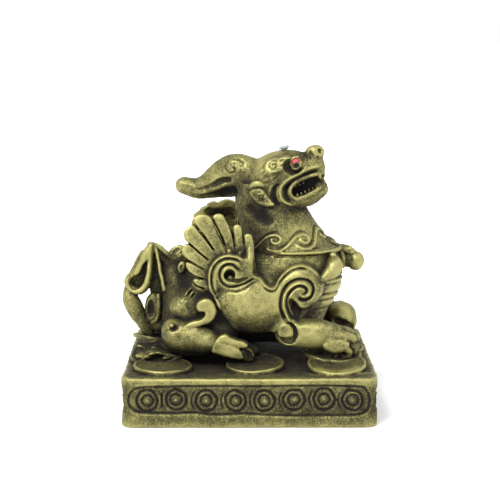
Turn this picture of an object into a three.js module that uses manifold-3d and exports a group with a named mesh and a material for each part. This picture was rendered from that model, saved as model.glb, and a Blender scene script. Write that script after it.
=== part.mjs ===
// A small cast-brass pixiu lying on a square base, its head raised and turned to one side.
// Millimetres, +Z up, the beast faces +X, the origin is the middle of the base's underside.
import * as THREE from "three";
import { mergeVertices } from "three/addons/utils/BufferGeometryUtils.js";
import Module from "manifold-3d";

// Driving dimensions
const BASE_WIDTH = 50;
const BASE_DEPTH = 50;
const BASE_HEIGHT = 9.8;
const BASE_CORNER_RADIUS = 2.8;
const BASE_EDGE_ROUNDING = 1.2;
const BAND_HEIGHT = 5.4;
const BAND_RISE = 0.5;
const BAND_END_MARGIN = 2;
const BAND_GROOVE_WIDTH = 0.45;
const BAND_GROOVE_DEPTH = 0.45;
const RING_PITCH = 5.75;
const RING_RADIUS = 1.95;
const COIN_DIAMETER = 11.6;
const COIN_THICKNESS = 0.9;
const FIGURE_HEIGHT = 42.7;
const EYE_STONE_DIAMETER = 1.8;
const BROW_STONE_DIAMETER = 2.3;
const STONE_SEAT_GAP = 0.1;
const COLLET_WALL = 0.2;

// The figure's form is in shares of its height above the base: one share is 1/42.7 of it.
const SHARES_IN_HEIGHT = 42.7;
const SHARE = FIGURE_HEIGHT / SHARES_IN_HEIGHT;

// The beast's right side is the near one, where y is negative, and its left side is the far one.
const NEAR = -1;
const FAR = 1;
const SIDES = [NEAR, FAR];

// How finely the shapes are cut, and how a limb's round end is drawn in
const COIN_SIDES = 12;
const SCROLL_SIDES = 12;
const SEAT_SIDES = 10;
const CAP_RING_REACH = 0.65;
const CAP_RING_SHRINK = 0.74;

const { Manifold, Mesh: ManifoldMesh } = await loadManifold();

async function loadManifold() {
  const wasm = await Module();
  wasm.setup();
  return wasm;
}

function solidFrom(geometry, matrix) {
  const bare = geometry.index ? geometry.toNonIndexed() : geometry.clone();
  bare.deleteAttribute("normal");
  bare.deleteAttribute("uv");
  if (matrix) bare.applyMatrix4(matrix);
  const merged = mergeVertices(bare, 1e-4);
  return new Manifold(
    new ManifoldMesh({
      numProp: 3,
      vertProperties: new Float32Array(merged.attributes.position.array),
      triVerts: new Uint32Array(merged.index.array),
    }),
  );
}

function geometryFrom(solid) {
  const mesh = solid.getMesh();
  const geometry = new THREE.BufferGeometry();
  geometry.setAttribute(
    "position",
    new THREE.BufferAttribute(mesh.vertProperties, 3),
  );
  geometry.setIndex(new THREE.BufferAttribute(mesh.triVerts, 1));
  geometry.computeVertexNormals();
  return geometry;
}

function joined(solids) {
  return solids.reduce((whole, solid) => whole.add(solid));
}

// Figure shares to millimetres above the base.
const FIGURE_FRAME = new THREE.Matrix4()
  .makeTranslation(0, 0, BASE_HEIGHT)
  .multiply(new THREE.Matrix4().makeScale(SHARE, SHARE, SHARE));

// The head's own frame: x forward along the snout, y to its left, z up through the crown.
const HEAD_PLACE = [6.5, -1.5, 36.2];
const HEAD_TURN = THREE.MathUtils.degToRad(-20);
const HEAD_LIFT = THREE.MathUtils.degToRad(-22);
const HEAD_FRAME = FIGURE_FRAME.clone()
  .multiply(new THREE.Matrix4().makeTranslation(...HEAD_PLACE))
  .multiply(new THREE.Matrix4().makeRotationZ(HEAD_TURN))
  .multiply(new THREE.Matrix4().makeRotationY(HEAD_LIFT));

// A closed skin over rings of points, from one end point to the other.
function skin(start, rings, end) {
  const sides = rings[0].length;
  const points = rings.flat();
  const first = points.length;
  points.push(start, end);
  const faces = [];
  for (let r = 0; r < rings.length - 1; r++)
    for (let s = 0; s < sides; s++) {
      const a = r * sides + s;
      const b = r * sides + ((s + 1) % sides);
      faces.push(a, b, a + sides, b, b + sides, a + sides);
    }
  const lastRing = (rings.length - 1) * sides;
  for (let s = 0; s < sides; s++) {
    const next = (s + 1) % sides;
    faces.push(first, next, s);
    faces.push(first + 1, lastRing + s, lastRing + next);
  }
  const geometry = new THREE.BufferGeometry().setFromPoints(points);
  geometry.setIndex(faces);
  return geometry;
}

// A limb, lobe or ridge: an oval section swept through spine points [x, y, z, half width, half height],
// with round ends. The width is level and the height stands across it, unless `up` turns the section.
// The sections stand across the spine, or across `axis` where that is given.
function limb(spine, options = {}) {
  const {
    sides = 8,
    steps = 2 * (spine.length - 1),
    up = [0, 0, 1],
    round = 1,
    axis = null,
    frame = FIGURE_FRAME,
  } = options;
  const curve = new THREE.CatmullRomCurve3(
    spine.map((p) => new THREE.Vector3(p[0], p[1], p[2])),
  );
  const upward = new THREE.Vector3(...up);
  const halfSizes = (t) => {
    const place = t * (spine.length - 1);
    const i = Math.min(Math.floor(place), spine.length - 2);
    const mix = (k) => {
      const [from, to] = [spine[i][k] ?? spine[i][3], spine[i + 1][k] ?? spine[i + 1][3]];
      return THREE.MathUtils.lerp(from, to, place - i);
    };
    return [mix(3), mix(4)];
  };
  const alongAt = (t) => (axis ? new THREE.Vector3(...axis) : curve.getTangent(t));
  const centreAt = (t, shift) => {
    const reach = shift * round * Math.min(...halfSizes(t));
    return curve.getPoint(t).addScaledVector(alongAt(t), reach);
  };
  const ring = (t, shift, shrink) => {
    const along = alongAt(t);
    const side = new THREE.Vector3().crossVectors(upward, along).normalize();
    const over = new THREE.Vector3().crossVectors(along, side);
    const [halfWidth, halfHeight] = halfSizes(t);
    const centre = centreAt(t, shift);
    return Array.from({ length: sides }, (_, s) => {
      const angle = (2 * Math.PI * (s + 0.5)) / sides;
      return centre
        .clone()
        .addScaledVector(side, shrink * halfWidth * Math.cos(angle))
        .addScaledVector(over, shrink * halfHeight * Math.sin(angle));
    });
  };
  const rings = [ring(0, -CAP_RING_REACH, CAP_RING_SHRINK)];
  for (let i = 0; i <= steps; i++) rings.push(ring(i / steps, 0, 1));
  rings.push(ring(1, CAP_RING_REACH, CAP_RING_SHRINK));
  return solidFrom(skin(centreAt(0, -1), rings, centreAt(1, 1)), frame);
}

// An oval lump at a point, turned by Euler angles in degrees.
function lump(place, radii, options = {}) {
  const { turn = [0, 0, 0], around = 10, down = 6, frame = FIGURE_FRAME } = options;
  const angles = turn.map(THREE.MathUtils.degToRad);
  const matrix = frame
    .clone()
    .multiply(
      new THREE.Matrix4().compose(
        new THREE.Vector3(...place),
        new THREE.Quaternion().setFromEuler(new THREE.Euler(...angles)),
        new THREE.Vector3(...radii),
      ),
    );
  return solidFrom(new THREE.SphereGeometry(1, around, down), matrix);
}

// A round scroll facing out to one side: rings of relief [radius, height] turned about its centre.
const SCROLL_ROOT = 2;

function scroll(centre, rings, side) {
  const outer = rings.at(-1)[0];
  const profile = [[0, -SCROLL_ROOT], [outer, -SCROLL_ROOT], ...rings.toReversed()];
  const disc = new THREE.LatheGeometry(
    profile.map(([radius, height]) => new THREE.Vector2(radius, height)),
    SCROLL_SIDES,
  );
  if (side === NEAR) disc.rotateX(Math.PI);
  disc.translate(centre[0], centre[1] * side, centre[2]);
  return solidFrom(disc, FIGURE_FRAME);
}

// Base and coins

function roundedRectangle(width, depth, radius) {
  const [w, d] = [width / 2, depth / 2];
  const shape = new THREE.Shape();
  shape.moveTo(-w + radius, -d);
  shape.lineTo(w - radius, -d);
  shape.absarc(w - radius, -d + radius, radius, -Math.PI / 2, 0);
  shape.absarc(w - radius, d - radius, radius, 0, Math.PI / 2);
  shape.absarc(-w + radius, d - radius, radius, Math.PI / 2, Math.PI);
  shape.absarc(-w + radius, -d + radius, radius, Math.PI, 1.5 * Math.PI);
  return shape;
}

function baseSlab() {
  const outline = roundedRectangle(
    BASE_WIDTH - 2 * BASE_EDGE_ROUNDING,
    BASE_DEPTH - 2 * BASE_EDGE_ROUNDING,
    BASE_CORNER_RADIUS - BASE_EDGE_ROUNDING,
  );
  const geometry = new THREE.ExtrudeGeometry(outline, {
    depth: BASE_HEIGHT - 2 * BASE_EDGE_ROUNDING,
    bevelThickness: BASE_EDGE_ROUNDING,
    bevelSize: BASE_EDGE_ROUNDING,
    bevelSegments: 2,
    curveSegments: 2,
  });
  return solidFrom(
    geometry,
    new THREE.Matrix4().makeTranslation(0, 0, BASE_EDGE_ROUNDING),
  );
}

function stadium(length, height, path = new THREE.Shape()) {
  const [run, radius] = [length / 2 - height / 2, height / 2];
  path.moveTo(-run, -radius);
  path.lineTo(run, -radius);
  path.absarc(run, 0, radius, -Math.PI / 2, Math.PI / 2);
  path.lineTo(-run, radius);
  path.absarc(-run, 0, radius, Math.PI / 2, 1.5 * Math.PI);
  return path;
}

// The incised band of one side: a long groove round a row of six-sided rings.
const RING_SIDES = 6;

function bandGrooves(sideLength) {
  const length = sideLength - 2 * BAND_END_MARGIN;
  const outline = stadium(length, BAND_HEIGHT);
  outline.holes.push(
    stadium(
      length - 2 * BAND_GROOVE_WIDTH,
      BAND_HEIGHT - 2 * BAND_GROOVE_WIDTH,
      new THREE.Path(),
    ),
  );
  const depth = 2 * BAND_GROOVE_DEPTH;
  const cutters = [
    new THREE.ExtrudeGeometry(outline, { depth, bevelEnabled: false, curveSegments: 3 }),
  ];
  const room = length - BAND_HEIGHT;
  const count = Math.max(1, Math.floor(room / RING_PITCH) + 1);
  for (let i = 0; i < count; i++) {
    const ring = new THREE.TorusGeometry(RING_RADIUS, BAND_GROOVE_DEPTH, 4, RING_SIDES);
    ring.translate((i - (count - 1) / 2) * RING_PITCH, 0, BAND_GROOVE_DEPTH);
    cutters.push(ring);
  }
  return cutters;
}

function carvedBase() {
  let slab = baseSlab();
  const faces = [
    { turn: 0, out: BASE_DEPTH / 2, length: BASE_WIDTH },
    { turn: 90, out: BASE_WIDTH / 2, length: BASE_DEPTH },
    { turn: 180, out: BASE_DEPTH / 2, length: BASE_WIDTH },
    { turn: 270, out: BASE_WIDTH / 2, length: BASE_DEPTH },
  ];
  for (const { turn, out, length } of faces) {
    const place = new THREE.Matrix4()
      .makeRotationZ(THREE.MathUtils.degToRad(turn))
      .multiply(
        new THREE.Matrix4().makeTranslation(
          0,
          -out + BAND_GROOVE_DEPTH,
          BASE_HEIGHT / 2 + BAND_RISE,
        ),
      )
      .multiply(new THREE.Matrix4().makeRotationX(Math.PI / 2));
    const cutters = bandGrooves(length).map((g) => solidFrom(g, place));
    slab = slab.subtract(joined(cutters));
  }
  return slab;
}

// Coins that the beast lies on: [x, y] as shares of half the base, and how many coins are stacked.
const COIN_ROOT = 0.6;
const COIN_PLACES = [
  [-0.67, -0.7, 1],
  [0.12, -0.57, 1],
  [0.69, -0.71, 1],
  [-0.7, -0.22, 2],
  [-0.66, 0.2, 4],
  [-0.66, 0.7, 1],
  [-0.1, 0.62, 1],
  [0.68, 0.7, 1],
  [0.72, 0.0, 1],
];

function coins() {
  return COIN_PLACES.map(([x, y, stacked]) => {
    const height = COIN_THICKNESS * stacked;
    const coin = new THREE.CylinderGeometry(
      COIN_DIAMETER / 2,
      COIN_DIAMETER / 2,
      height + COIN_ROOT,
      COIN_SIDES,
    );
    coin.rotateX(Math.PI / 2);
    coin.translate(
      (x * BASE_WIDTH) / 2,
      (y * BASE_DEPTH) / 2,
      BASE_HEIGHT + (height - COIN_ROOT) / 2,
    );
    return solidFrom(coin);
  });
}

// Body

const UPRIGHT = { up: [1, 0, 0] };
const ACROSS = { up: [0, 1, 0] };

function torso() {
  const barrel = [
    [-17.5, 0, 9.2, 5, 5],
    [-14, 0, 10.8, 8.6, 8.2],
    [-6, 0, 11.4, 10.6, 9.2],
    [6, 0, 11.6, 10.8, 9],
    [12, 0, 11, 8, 7],
  ];
  return [
    limb(barrel, { sides: 10, steps: 5 }),
    ...SIDES.map((side) =>
      lump([0.6, 8.6 * side, 12.4], [9.6, 5.2, 5.8], { turn: [0, 8, 0], around: 11 }),
    ),
  ];
}

// Chest, the cord round the foot of the neck, and the bell-shaped neck above it, in one.
function chestAndNeck() {
  const levels = [
    [8.4, 0, 5, 6.4, 6],
    [9.2, 0, 9, 9.2, 8.2],
    [9.5, 0, 15.5, 10, 9.6],
    [9.3, 0, 20.8, 9.6, 9.5],
    [9.3, 0, 21.4, 9.2, 9.2],
    [9.3, 0, 21.9, 10, 9.9],
    [9.2, 0, 22.5, 9.8, 9.7],
    [8.2, 0, 22.9, 9, 8.8],
    [6.2, -0.2, 26.6, 8.1, 8],
    [4.8, -0.5, 29.9, 7.3, 7.4],
    [4.2, -0.8, 34, 5.8, 6.6],
  ];
  const axis = [0, 0, 1];
  return limb(levels, { sides: 14, steps: levels.length - 1, round: 0.3, axis, ...UPRIGHT });
}

// Three drops hang at the collar: one in front, one each side.
function collarDrops() {
  const sideDrops = SIDES.flatMap((side) => [
    limb(
      [
        [17, 7.3 * side, 19.8, 1.9],
        [15.6, 8.6 * side, 18.6, 1.4],
        [13.8, 9.8 * side, 17.2, 0.8],
      ],
      { sides: 7, steps: 2 },
    ),
    lump([17, 6.9 * side, 21.6], [0.9, 0.9, 0.8], { around: 6, down: 4 }),
  ]);
  return [
    ...sideDrops,
    limb([[18, 0, 20.4, 1.7, 1.6], [21.9, -0.8, 19.4, 1.9, 1.8]], { sides: 7, steps: 1 }),
    limb([[18.4, -0.5, 22, 1.2, 0.9], [20.4, -0.9, 21.7, 1.2, 0.9]], { sides: 6, steps: 1 }),
    lump([17.6, 0.8, 23.3], [1.6, 2.4, 0.9], { turn: [0, 30, 0], around: 7, down: 4 }),
  ];
}

// The plates down the front of the chest.
function chestPlates() {
  const bottom = 7;
  const top = 15.2;
  const count = 4;
  return Array.from({ length: count }, (_, i) => {
    const share = i / (count - 1);
    const z = THREE.MathUtils.lerp(bottom, top, share);
    const reach = THREE.MathUtils.lerp(16.7, 18.8, share);
    const half = THREE.MathUtils.lerp(4.6, 5.8, share);
    const spine = [-1, 0, 1].map((s) => [
      reach - 2.2 * s * s,
      half * s,
      z + 0.9 * s * s,
      0.6,
      0.9,
    ]);
    return limb(spine, { sides: 4, steps: 4, ...UPRIGHT });
  });
}

// Legs

function hindLeg(side) {
  const y = (value) => value * side;
  const shank = [
    [-15.2, y(11.4), 4.8, 2.6, 3],
    [-11, y(13.2), 5.2, 2.9, 3.4],
    [-6, y(13.6), 4.2, 2.5, 2.7],
  ];
  const foot = [
    [-6, y(13.8), 3.8, 2.4, 2.6],
    [-1.6, y(14.6), 3.4, 2, 2],
  ];
  const toes = [13.4, 15.7].map((width) => [
    [-2.4, y(width), 3.7, 0.9, 1.2],
    [0.6, y(width), 2.6, 0.6, 0.8],
  ]);
  return [
    lump([-9.6, y(9.4), 10], [7.4, 4.6, 7], { around: 10, down: 7 }),
    limb(shank, { sides: 8, steps: 2 }),
    limb(foot, { sides: 8, steps: 1 }),
    ...toes.map((toe) => limb(toe, { sides: 5, steps: 1 })),
    lump([-14.6, y(12.6), 8.2], [0.9, 0.9, 0.9], { around: 5, down: 4 }),
  ];
}

function toesOf(places) {
  return places.map(([x, y, z]) =>
    limb(
      [
        [x - 3, y, z + 1, 0.9, 1.2],
        [x, y, z, 0.7, 0.9],
      ],
      { sides: 5, steps: 1 },
    ),
  );
}

// The near foreleg is stretched out along the base.
function restingForeleg(side) {
  const arm = [
    [8, 8.6 * side, 11, 3.6, 3.6],
    [6.8, 11.4 * side, 7, 2.8, 3.4],
    [12.4, 12.6 * side, 6.4, 2.7, 3],
    [18, 13.2 * side, 4, 2.5, 2.2],
  ];
  const toes = [
    [20.4, 14.9 * side, 3],
    [20.8, 13 * side, 3.6],
    [20.4, 11.1 * side, 3.9],
  ];
  return [
    limb(arm, { sides: 8, steps: 6 }),
    ...toesOf(toes),
    lump([7.3, 13.4 * side, 6.8], [1.9, 1.4, 1.9], { around: 8, down: 5 }),
  ];
}

// The far foreleg is bent, with its paw on a ball.
function raisedForeleg(side) {
  const arm = [
    [8, 8.6 * side, 11, 3.6, 3.6],
    [8.6, 11.2 * side, 7.8, 3, 3.5],
    [13.6, 10.6 * side, 7, 2.6, 2.8],
    [19.4, 8.6 * side, 6.4, 2.8, 2.4],
  ];
  const toes = [
    [21.9, 6.8 * side, 4.9],
    [22.3, 8.6 * side, 4.9],
    [21.7, 10.4 * side, 4.8],
  ];
  return [
    limb(arm, { sides: 8, steps: 6 }),
    ...toesOf(toes),
    lump([19.2, 8.6 * side, 2.8], [3, 3, 3], { around: 10, down: 6 }),
    lump([7.6, 13.2 * side, 7.4], [1.9, 1.4, 1.9], { around: 8, down: 5 }),
  ];
}

// The comma-shaped curl on the haunch.
function haunchCurl(side) {
  const spine = [
    [-9.4, 13.3 * side, 11.6, 0.9],
    [-8, 13.5 * side, 12.8, 0.9],
    [-6.9, 13.6 * side, 11, 1],
    [-8.4, 13.8 * side, 8.8, 0.8],
    [-12.2, 13.4 * side, 8.3, 0.4],
  ];
  return limb(spine, { sides: 4, steps: 7, ...ACROSS });
}

// Wings

// The feathers spread from the wing's scroll: [tip x, tip y, tip z, half width, root x].
const FEATHER_ROOT = { y: 11.6, z: 18 };
const FEATHERS = [
  [-0.4, 10.8, 26, 1.4, -0.6],
  [-2.6, 10, 26.9, 1.1, -2.2],
  [-5.7, 9.4, 29.6, 1.7, -4.2],
  [-9.4, 9.4, 29, 2, -4.2],
  [-12.1, 9.6, 26, 2, -4.2],
  [-13.1, 10, 22.6, 1.8, -4.2],
  [-12.5, 10.4, 19.4, 1.5, -4.2],
  [-10.7, 11, 17, 1.2, -4.2],
];
const FEATHER_THICKNESS = 0.95;

function feathers(side) {
  return FEATHERS.map(([tipX, tipY, tipZ, half, rootX]) => {
    const at = (share) => [
      THREE.MathUtils.lerp(rootX, tipX, share),
      THREE.MathUtils.lerp(FEATHER_ROOT.y, tipY, share) * side,
      THREE.MathUtils.lerp(FEATHER_ROOT.z, tipZ, share),
    ];
    const spine = [
      [...at(0.3), FEATHER_THICKNESS, half * 0.7],
      [...at(0.9), FEATHER_THICKNESS, half],
    ];
    const outward = [tipZ - FEATHER_ROOT.z, 0, rootX - tipX];
    return limb(spine, { sides: 6, steps: 1, up: outward, round: 0.9 });
  });
}

// Two scrolls joined by a raised edge: the wing's root along the flank.
function wingRoot(side) {
  const rear = [
    [0, 0.5],
    [0.7, 0.3],
    [0.8, -0.6],
    [1.4, -0.4],
    [1.7, 0.9],
    [2.7, 0.8],
    [3, 0.3],
    [4.2, 0.5],
  ];
  const front = [
    [0, 1.2],
    [0.8, 1.1],
    [1.2, 0.5],
    [1.9, 1],
    [2.5, 0.9],
    [2.9, 0.3],
    [4.3, 0.4],
  ];
  const edge = [
    [-1.8, 12.4, 17.2, 0.6],
    [1, 12.4, 17.7, 0.6],
    [4.4, 12.2, 15.7, 0.6],
    [7, 11.8, 17.8, 0.7],
    [10, 11.2, 19.2, 0.8],
    [13.6, 9.6, 17.8, 0.8],
  ].map(([x, y, z, half]) => [x, y * side, z, half]);
  return [
    scroll([-4.2, 12.2, 18], rear, side),
    scroll([10.6, 10.4, 14.2], front, side),
    limb(edge, { sides: 4, steps: 7, ...ACROSS }),
  ];
}

// Tail: a stem up behind the rump that falls over in hollow lobes.
function tail() {
  const stem = [
    [-18.2, -2, 3.4, 1.8],
    [-21.2, -3, 6.4, 1.6],
    [-23.6, -3.6, 10.4, 1.5],
    [-24.1, -3.4, 14, 1.4],
    [-22, -1.6, 20.4, 1.2],
  ];
  const lobe = [
    [-21, -2, 21.4, 1.4, 1.2],
    [-23, -4, 17.8, 1.8, 2.1],
    [-23.5, -4.6, 14.2, 1.7, 1.8],
  ];
  const hollow = [
    [-21.8, -4.4, 19.8, 1.1, 0.5],
    [-23.8, -6.2, 15.2, 1.5, 1.2],
  ];
  const ridge = [
    [-20.6, -2.2, 21.8, 1],
    [-18.8, -3, 18.4, 0.8],
    [-17.7, -3.6, 13.8, 0.7],
  ];
  const web = [
    [-18.2, 0.2, 19.4, 1.4, 2.4],
    [-16.6, 0, 14.5, 1.8, 3.8],
    [-16, 0, 8, 2.4, 3],
  ];
  const crest = [
    [-20.4, -0.8, 22.2, 0.9],
    [-17.4, -0.6, 20.4, 0.9],
    [-15.2, -1, 19.8, 0.8],
    [-13.8, -1.2, 21.4, 0.8],
  ];
  const bud = [
    [-19.9, -3.4, 11.8, 1, 0.8],
    [-20.2, -3.8, 9, 1.1, 1.5],
    [-19.6, -3.4, 6.4, 0.9, 0.9],
  ];
  const cup = limb(lobe, { sides: 8, steps: 3, ...UPRIGHT }).subtract(
    limb(hollow, { sides: 6, steps: 1, ...UPRIGHT }),
  );
  return [
    cup,
    limb(stem, { sides: 6, steps: 5 }),
    limb(ridge, { sides: 5, steps: 3, ...UPRIGHT }),
    limb(web, { sides: 6, steps: 2, ...UPRIGHT }),
    limb(crest, { sides: 5, steps: 4, ...ACROSS }),
    limb(bud, { sides: 6, steps: 2, ...UPRIGHT }),
  ];
}

// Head, in its own frame

const IN_HEAD = { frame: HEAD_FRAME };

function skull() {
  const upper = [
    [-4.4, 0, 0.2, 3.8, 3.8],
    [-1.5, 0, 0.3, 5, 5.1],
    [1.5, 0, 0.6, 4.7, 4.7],
    [3.9, 0, 0.9, 3.9, 3.7],
    [5.8, 0, 0.6, 3.1, 2.9],
    [8, 0, 0.5, 2.5, 2.7],
  ];
  const jaw = [
    [-0.5, 0, -4.2, 4.1, 2.2],
    [3.5, 0, -5.2, 3.2, 1.4],
    [7, 0, -5.3, 2.3, 1.1],
  ];
  return [
    limb(upper, { sides: 10, steps: 5, ...IN_HEAD }),
    limb(jaw, { sides: 8, steps: 2, ...IN_HEAD }),
    lump([9, 0, 2.5], [1.2, 2.1, 1.2], { around: 8, down: 5, ...IN_HEAD }),
  ];
}

function faceSide(side) {
  const y = (value) => value * side;
  const lip = [
    [9.4, y(1), -1.5, 0.5],
    [6, y(2.8), -2.1, 0.5],
    [3, y(3.7), -2.4, 0.5],
    [2.2, y(3.8), -3.4, 0.5],
    [3.4, y(3.3), -4.4, 0.5],
    [7.8, y(1.8), -4.6, 0.5],
  ];
  const cheek = [
    [2.8, y(4.2), 0, 0.6],
    [0.4, y(4.7), -1.6, 0.6],
    [1.2, y(4), -5, 0.5],
  ];
  const ear = [
    [-4, y(4.6), 1, 0.7, 1],
    [-3.2, y(5.3), -1.6, 0.9, 1.7],
    [-1.8, y(5.4), -4, 0.7, 0.7],
  ];
  return [
    limb(lip, { sides: 4, steps: 8, ...IN_HEAD }),
    limb(cheek, { sides: 4, steps: 3, ...ACROSS, ...IN_HEAD }),
    limb(ear, { sides: 6, steps: 2, ...UPRIGHT, ...IN_HEAD }),
    lump([1.6, y(3.9), 3], [1.9, 0.9, 1.3], { around: 7, down: 4, ...IN_HEAD }),
    lump([5.2, y(2.4), 1.9], [1.6, 1.3, 1.5], { around: 7, down: 5, ...IN_HEAD }),
  ];
}

function horn() {
  const spine = [
    [2.5, 0.4, 36.8, 3, 3.4],
    [-2.5, 1.6, 37.4, 3, 3.9],
    [-6.5, 2.8, 35.9, 2.6, 3.4],
    [-10.5, 3.6, 34.2, 2.2, 2.5],
    [-13.4, 4, 34, 1.9, 1.9],
  ];
  return limb(spine, { sides: 8, steps: 5 });
}

// Stones, each glued in a round seat

const STONES = {
  right_eye_stone: {
    diameter: EYE_STONE_DIAMETER,
    place: [5.5, 3.62 * NEAR, 2.15],
    facing: [0.3, 0.9 * NEAR, 0.32],
    colour: 0xd0263c,
  },
  left_eye_stone: {
    diameter: EYE_STONE_DIAMETER,
    place: [5.5, 3.62 * FAR, 2.15],
    facing: [0.3, 0.9 * FAR, 0.32],
    colour: 0xd0263c,
  },
  forehead_stone: {
    diameter: BROW_STONE_DIAMETER,
    place: [3.1, 0, 5.8],
    facing: [0.2, 0, 1],
    colour: 0xf2f4f2,
  },
};

// A stone's facets in shares of its radius
const CROWN_SHARE = 0.42;
const GIRDLE_SHARE = 0.12;
const PAVILION_SHARE = 0.62;
const TABLE_SHARE = 0.58;
const STONE_FACETS = 8;

// Where a stone's girdle lies in millimetres, with +Z out of the seat.
function stoneFrame({ place, facing }) {
  const outward = new THREE.Vector3(...facing).transformDirection(HEAD_FRAME);
  const centre = new THREE.Vector3(...place).applyMatrix4(HEAD_FRAME);
  const turn = new THREE.Quaternion().setFromUnitVectors(
    new THREE.Vector3(0, 0, 1),
    outward,
  );
  return new THREE.Matrix4().compose(centre, turn, new THREE.Vector3(1, 1, 1));
}

function stoneGeometry(diameter) {
  const radius = diameter / 2;
  const profile = [
    [0, -PAVILION_SHARE],
    [1, 0],
    [1, GIRDLE_SHARE],
    [TABLE_SHARE, CROWN_SHARE],
    [0, CROWN_SHARE],
  ].map(([out, height]) => new THREE.Vector2(out * radius, height * radius));
  return new THREE.LatheGeometry(profile, STONE_FACETS).rotateX(Math.PI / 2);
}

function stoneSeat(stone) {
  const radius = stone.diameter / 2 + STONE_SEAT_GAP;
  const depth = (PAVILION_SHARE * stone.diameter) / 2 + STONE_SEAT_GAP;
  const clearance = stone.diameter;
  const seat = new THREE.CylinderGeometry(radius, radius, depth + clearance, SEAT_SIDES)
    .rotateX(Math.PI / 2)
    .translate(0, 0, (clearance - depth) / 2);
  return solidFrom(seat, stoneFrame(stone));
}

// A raised collet round each stone, rooted in the head, which its seat is cut in.
function stoneCollet(stone) {
  const radius = stone.diameter / 2 + STONE_SEAT_GAP + COLLET_WALL;
  const depth = 2 * stone.diameter;
  const collet = new THREE.CylinderGeometry(radius, radius, depth, SEAT_SIDES)
    .rotateX(Math.PI / 2)
    .translate(0, 0, -depth / 2);
  return solidFrom(collet, stoneFrame(stone));
}

// The casting: base, coins and beast in one, with the seats for the stones

function casting() {
  const stones = Object.values(STONES);
  const metal = joined([
    carvedBase(),
    ...coins(),
    ...torso(),
    chestAndNeck(),
    ...collarDrops(),
    ...chestPlates(),
    ...SIDES.flatMap(hindLeg),
    ...restingForeleg(NEAR),
    ...raisedForeleg(FAR),
    ...SIDES.map(haunchCurl),
    ...SIDES.flatMap(feathers),
    ...SIDES.flatMap(wingRoot),
    ...tail(),
    ...skull(),
    ...SIDES.flatMap(faceSide),
    horn(),
    ...stones.map(stoneCollet),
  ]);
  return metal.subtract(joined(stones.map(stoneSeat)));
}

const brass = new THREE.MeshStandardMaterial({
  color: 0x8a8148,
  metalness: 0.9,
  roughness: 0.45,
});

const part = new THREE.Group();
const pixiu = new THREE.Mesh(geometryFrom(casting()), brass);
pixiu.name = "pixiu_casting";
part.add(pixiu);

for (const [name, stone] of Object.entries(STONES)) {
  const glass = new THREE.MeshStandardMaterial({
    color: stone.colour,
    metalness: 0,
    roughness: 0.08,
  });
  const gem = new THREE.Mesh(stoneGeometry(stone.diameter), glass);
  gem.name = name;
  gem.applyMatrix4(stoneFrame(stone));
  part.add(gem);
}

export default part;
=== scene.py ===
import itertools
import math

import bpy
import numpy as np
import openvdb
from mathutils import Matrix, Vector


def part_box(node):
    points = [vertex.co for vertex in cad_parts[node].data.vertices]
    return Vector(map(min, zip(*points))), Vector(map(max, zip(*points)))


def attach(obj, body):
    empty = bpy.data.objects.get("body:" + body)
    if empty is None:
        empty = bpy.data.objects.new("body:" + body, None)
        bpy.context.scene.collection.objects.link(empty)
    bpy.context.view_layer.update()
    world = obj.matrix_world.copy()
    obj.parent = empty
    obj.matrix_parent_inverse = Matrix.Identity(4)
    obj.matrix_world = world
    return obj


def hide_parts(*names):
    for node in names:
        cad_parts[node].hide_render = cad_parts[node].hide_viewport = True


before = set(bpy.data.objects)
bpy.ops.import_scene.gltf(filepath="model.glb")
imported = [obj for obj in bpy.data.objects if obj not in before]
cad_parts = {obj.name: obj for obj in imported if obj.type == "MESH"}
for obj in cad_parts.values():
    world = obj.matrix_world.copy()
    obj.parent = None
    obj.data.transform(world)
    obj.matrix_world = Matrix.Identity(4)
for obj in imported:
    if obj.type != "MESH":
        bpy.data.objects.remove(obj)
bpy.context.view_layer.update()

# Sizes. The figure is carved in millimetres, with z counted up from the top of its base.
# The CAD casting is as wide as its base from side to side, 50 mm, which gives the scale.
BASE_SIDE = 50.0
BASE_HEIGHT = 9.8
BASE_CORNER = 2.6
casting_low, casting_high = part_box("pixiu_casting")
MM = (casting_high[1] - casting_low[1]) / BASE_SIDE

NEAR, FAR = -1, 1
SIDES = (NEAR, FAR)

# Wax modelling: a block keeps, at each point of a grid, how far the skin is, below zero inside.
REACH = 3.0  # further than this from the skin, the distance isn't kept
MARGIN = 1.6  # how far round a shape the distance is worked out
STEP = 0.2
UP = (0, 0, 1)


def flowing(rows, gap=0.5):
    """The rows as points on one smooth line, filled in so that none are further apart than gap."""
    rows = np.array(rows, float)
    ends = np.vstack([2 * rows[0] - rows[1], rows, 2 * rows[-1] - rows[-2]])
    dense = []
    for before, start, end, after in zip(ends, ends[1:], ends[2:], ends[3:]):
        count = max(1, math.ceil(np.linalg.norm((end - start)[:3]) / gap))
        t = (np.arange(count) / count)[:, None]
        curve = 2 * start + (end - before) * t
        curve = curve + (2 * before - 5 * start + 4 * end - after) * t**2
        curve = curve + (3 * start - before - 3 * end + after) * t**3
        dense.append(curve / 2)
    return np.vstack([*dense, rows[-1:]])


def oval_distance(across, rise, half_across, half_rise):
    """Distance to an oval, from the squares of how far out a point is in its two directions."""
    out = np.sqrt(across / half_across**2 + rise / half_rise**2)
    steep = np.sqrt(across / half_across**4 + rise / half_rise**4) + 1e-6
    return out * (out - 1) / steep


def round_edged(side, rise, edge):
    """Distance to a plate whose edges are rounded by edge mm.

    side and rise are how far past the plate's core a point is, outward and upward.
    """
    outside = np.sqrt(np.maximum(side, 0) ** 2 + np.maximum(rise, 0) ** 2)
    return outside + np.minimum(np.maximum(side, rise), 0) - edge


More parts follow.
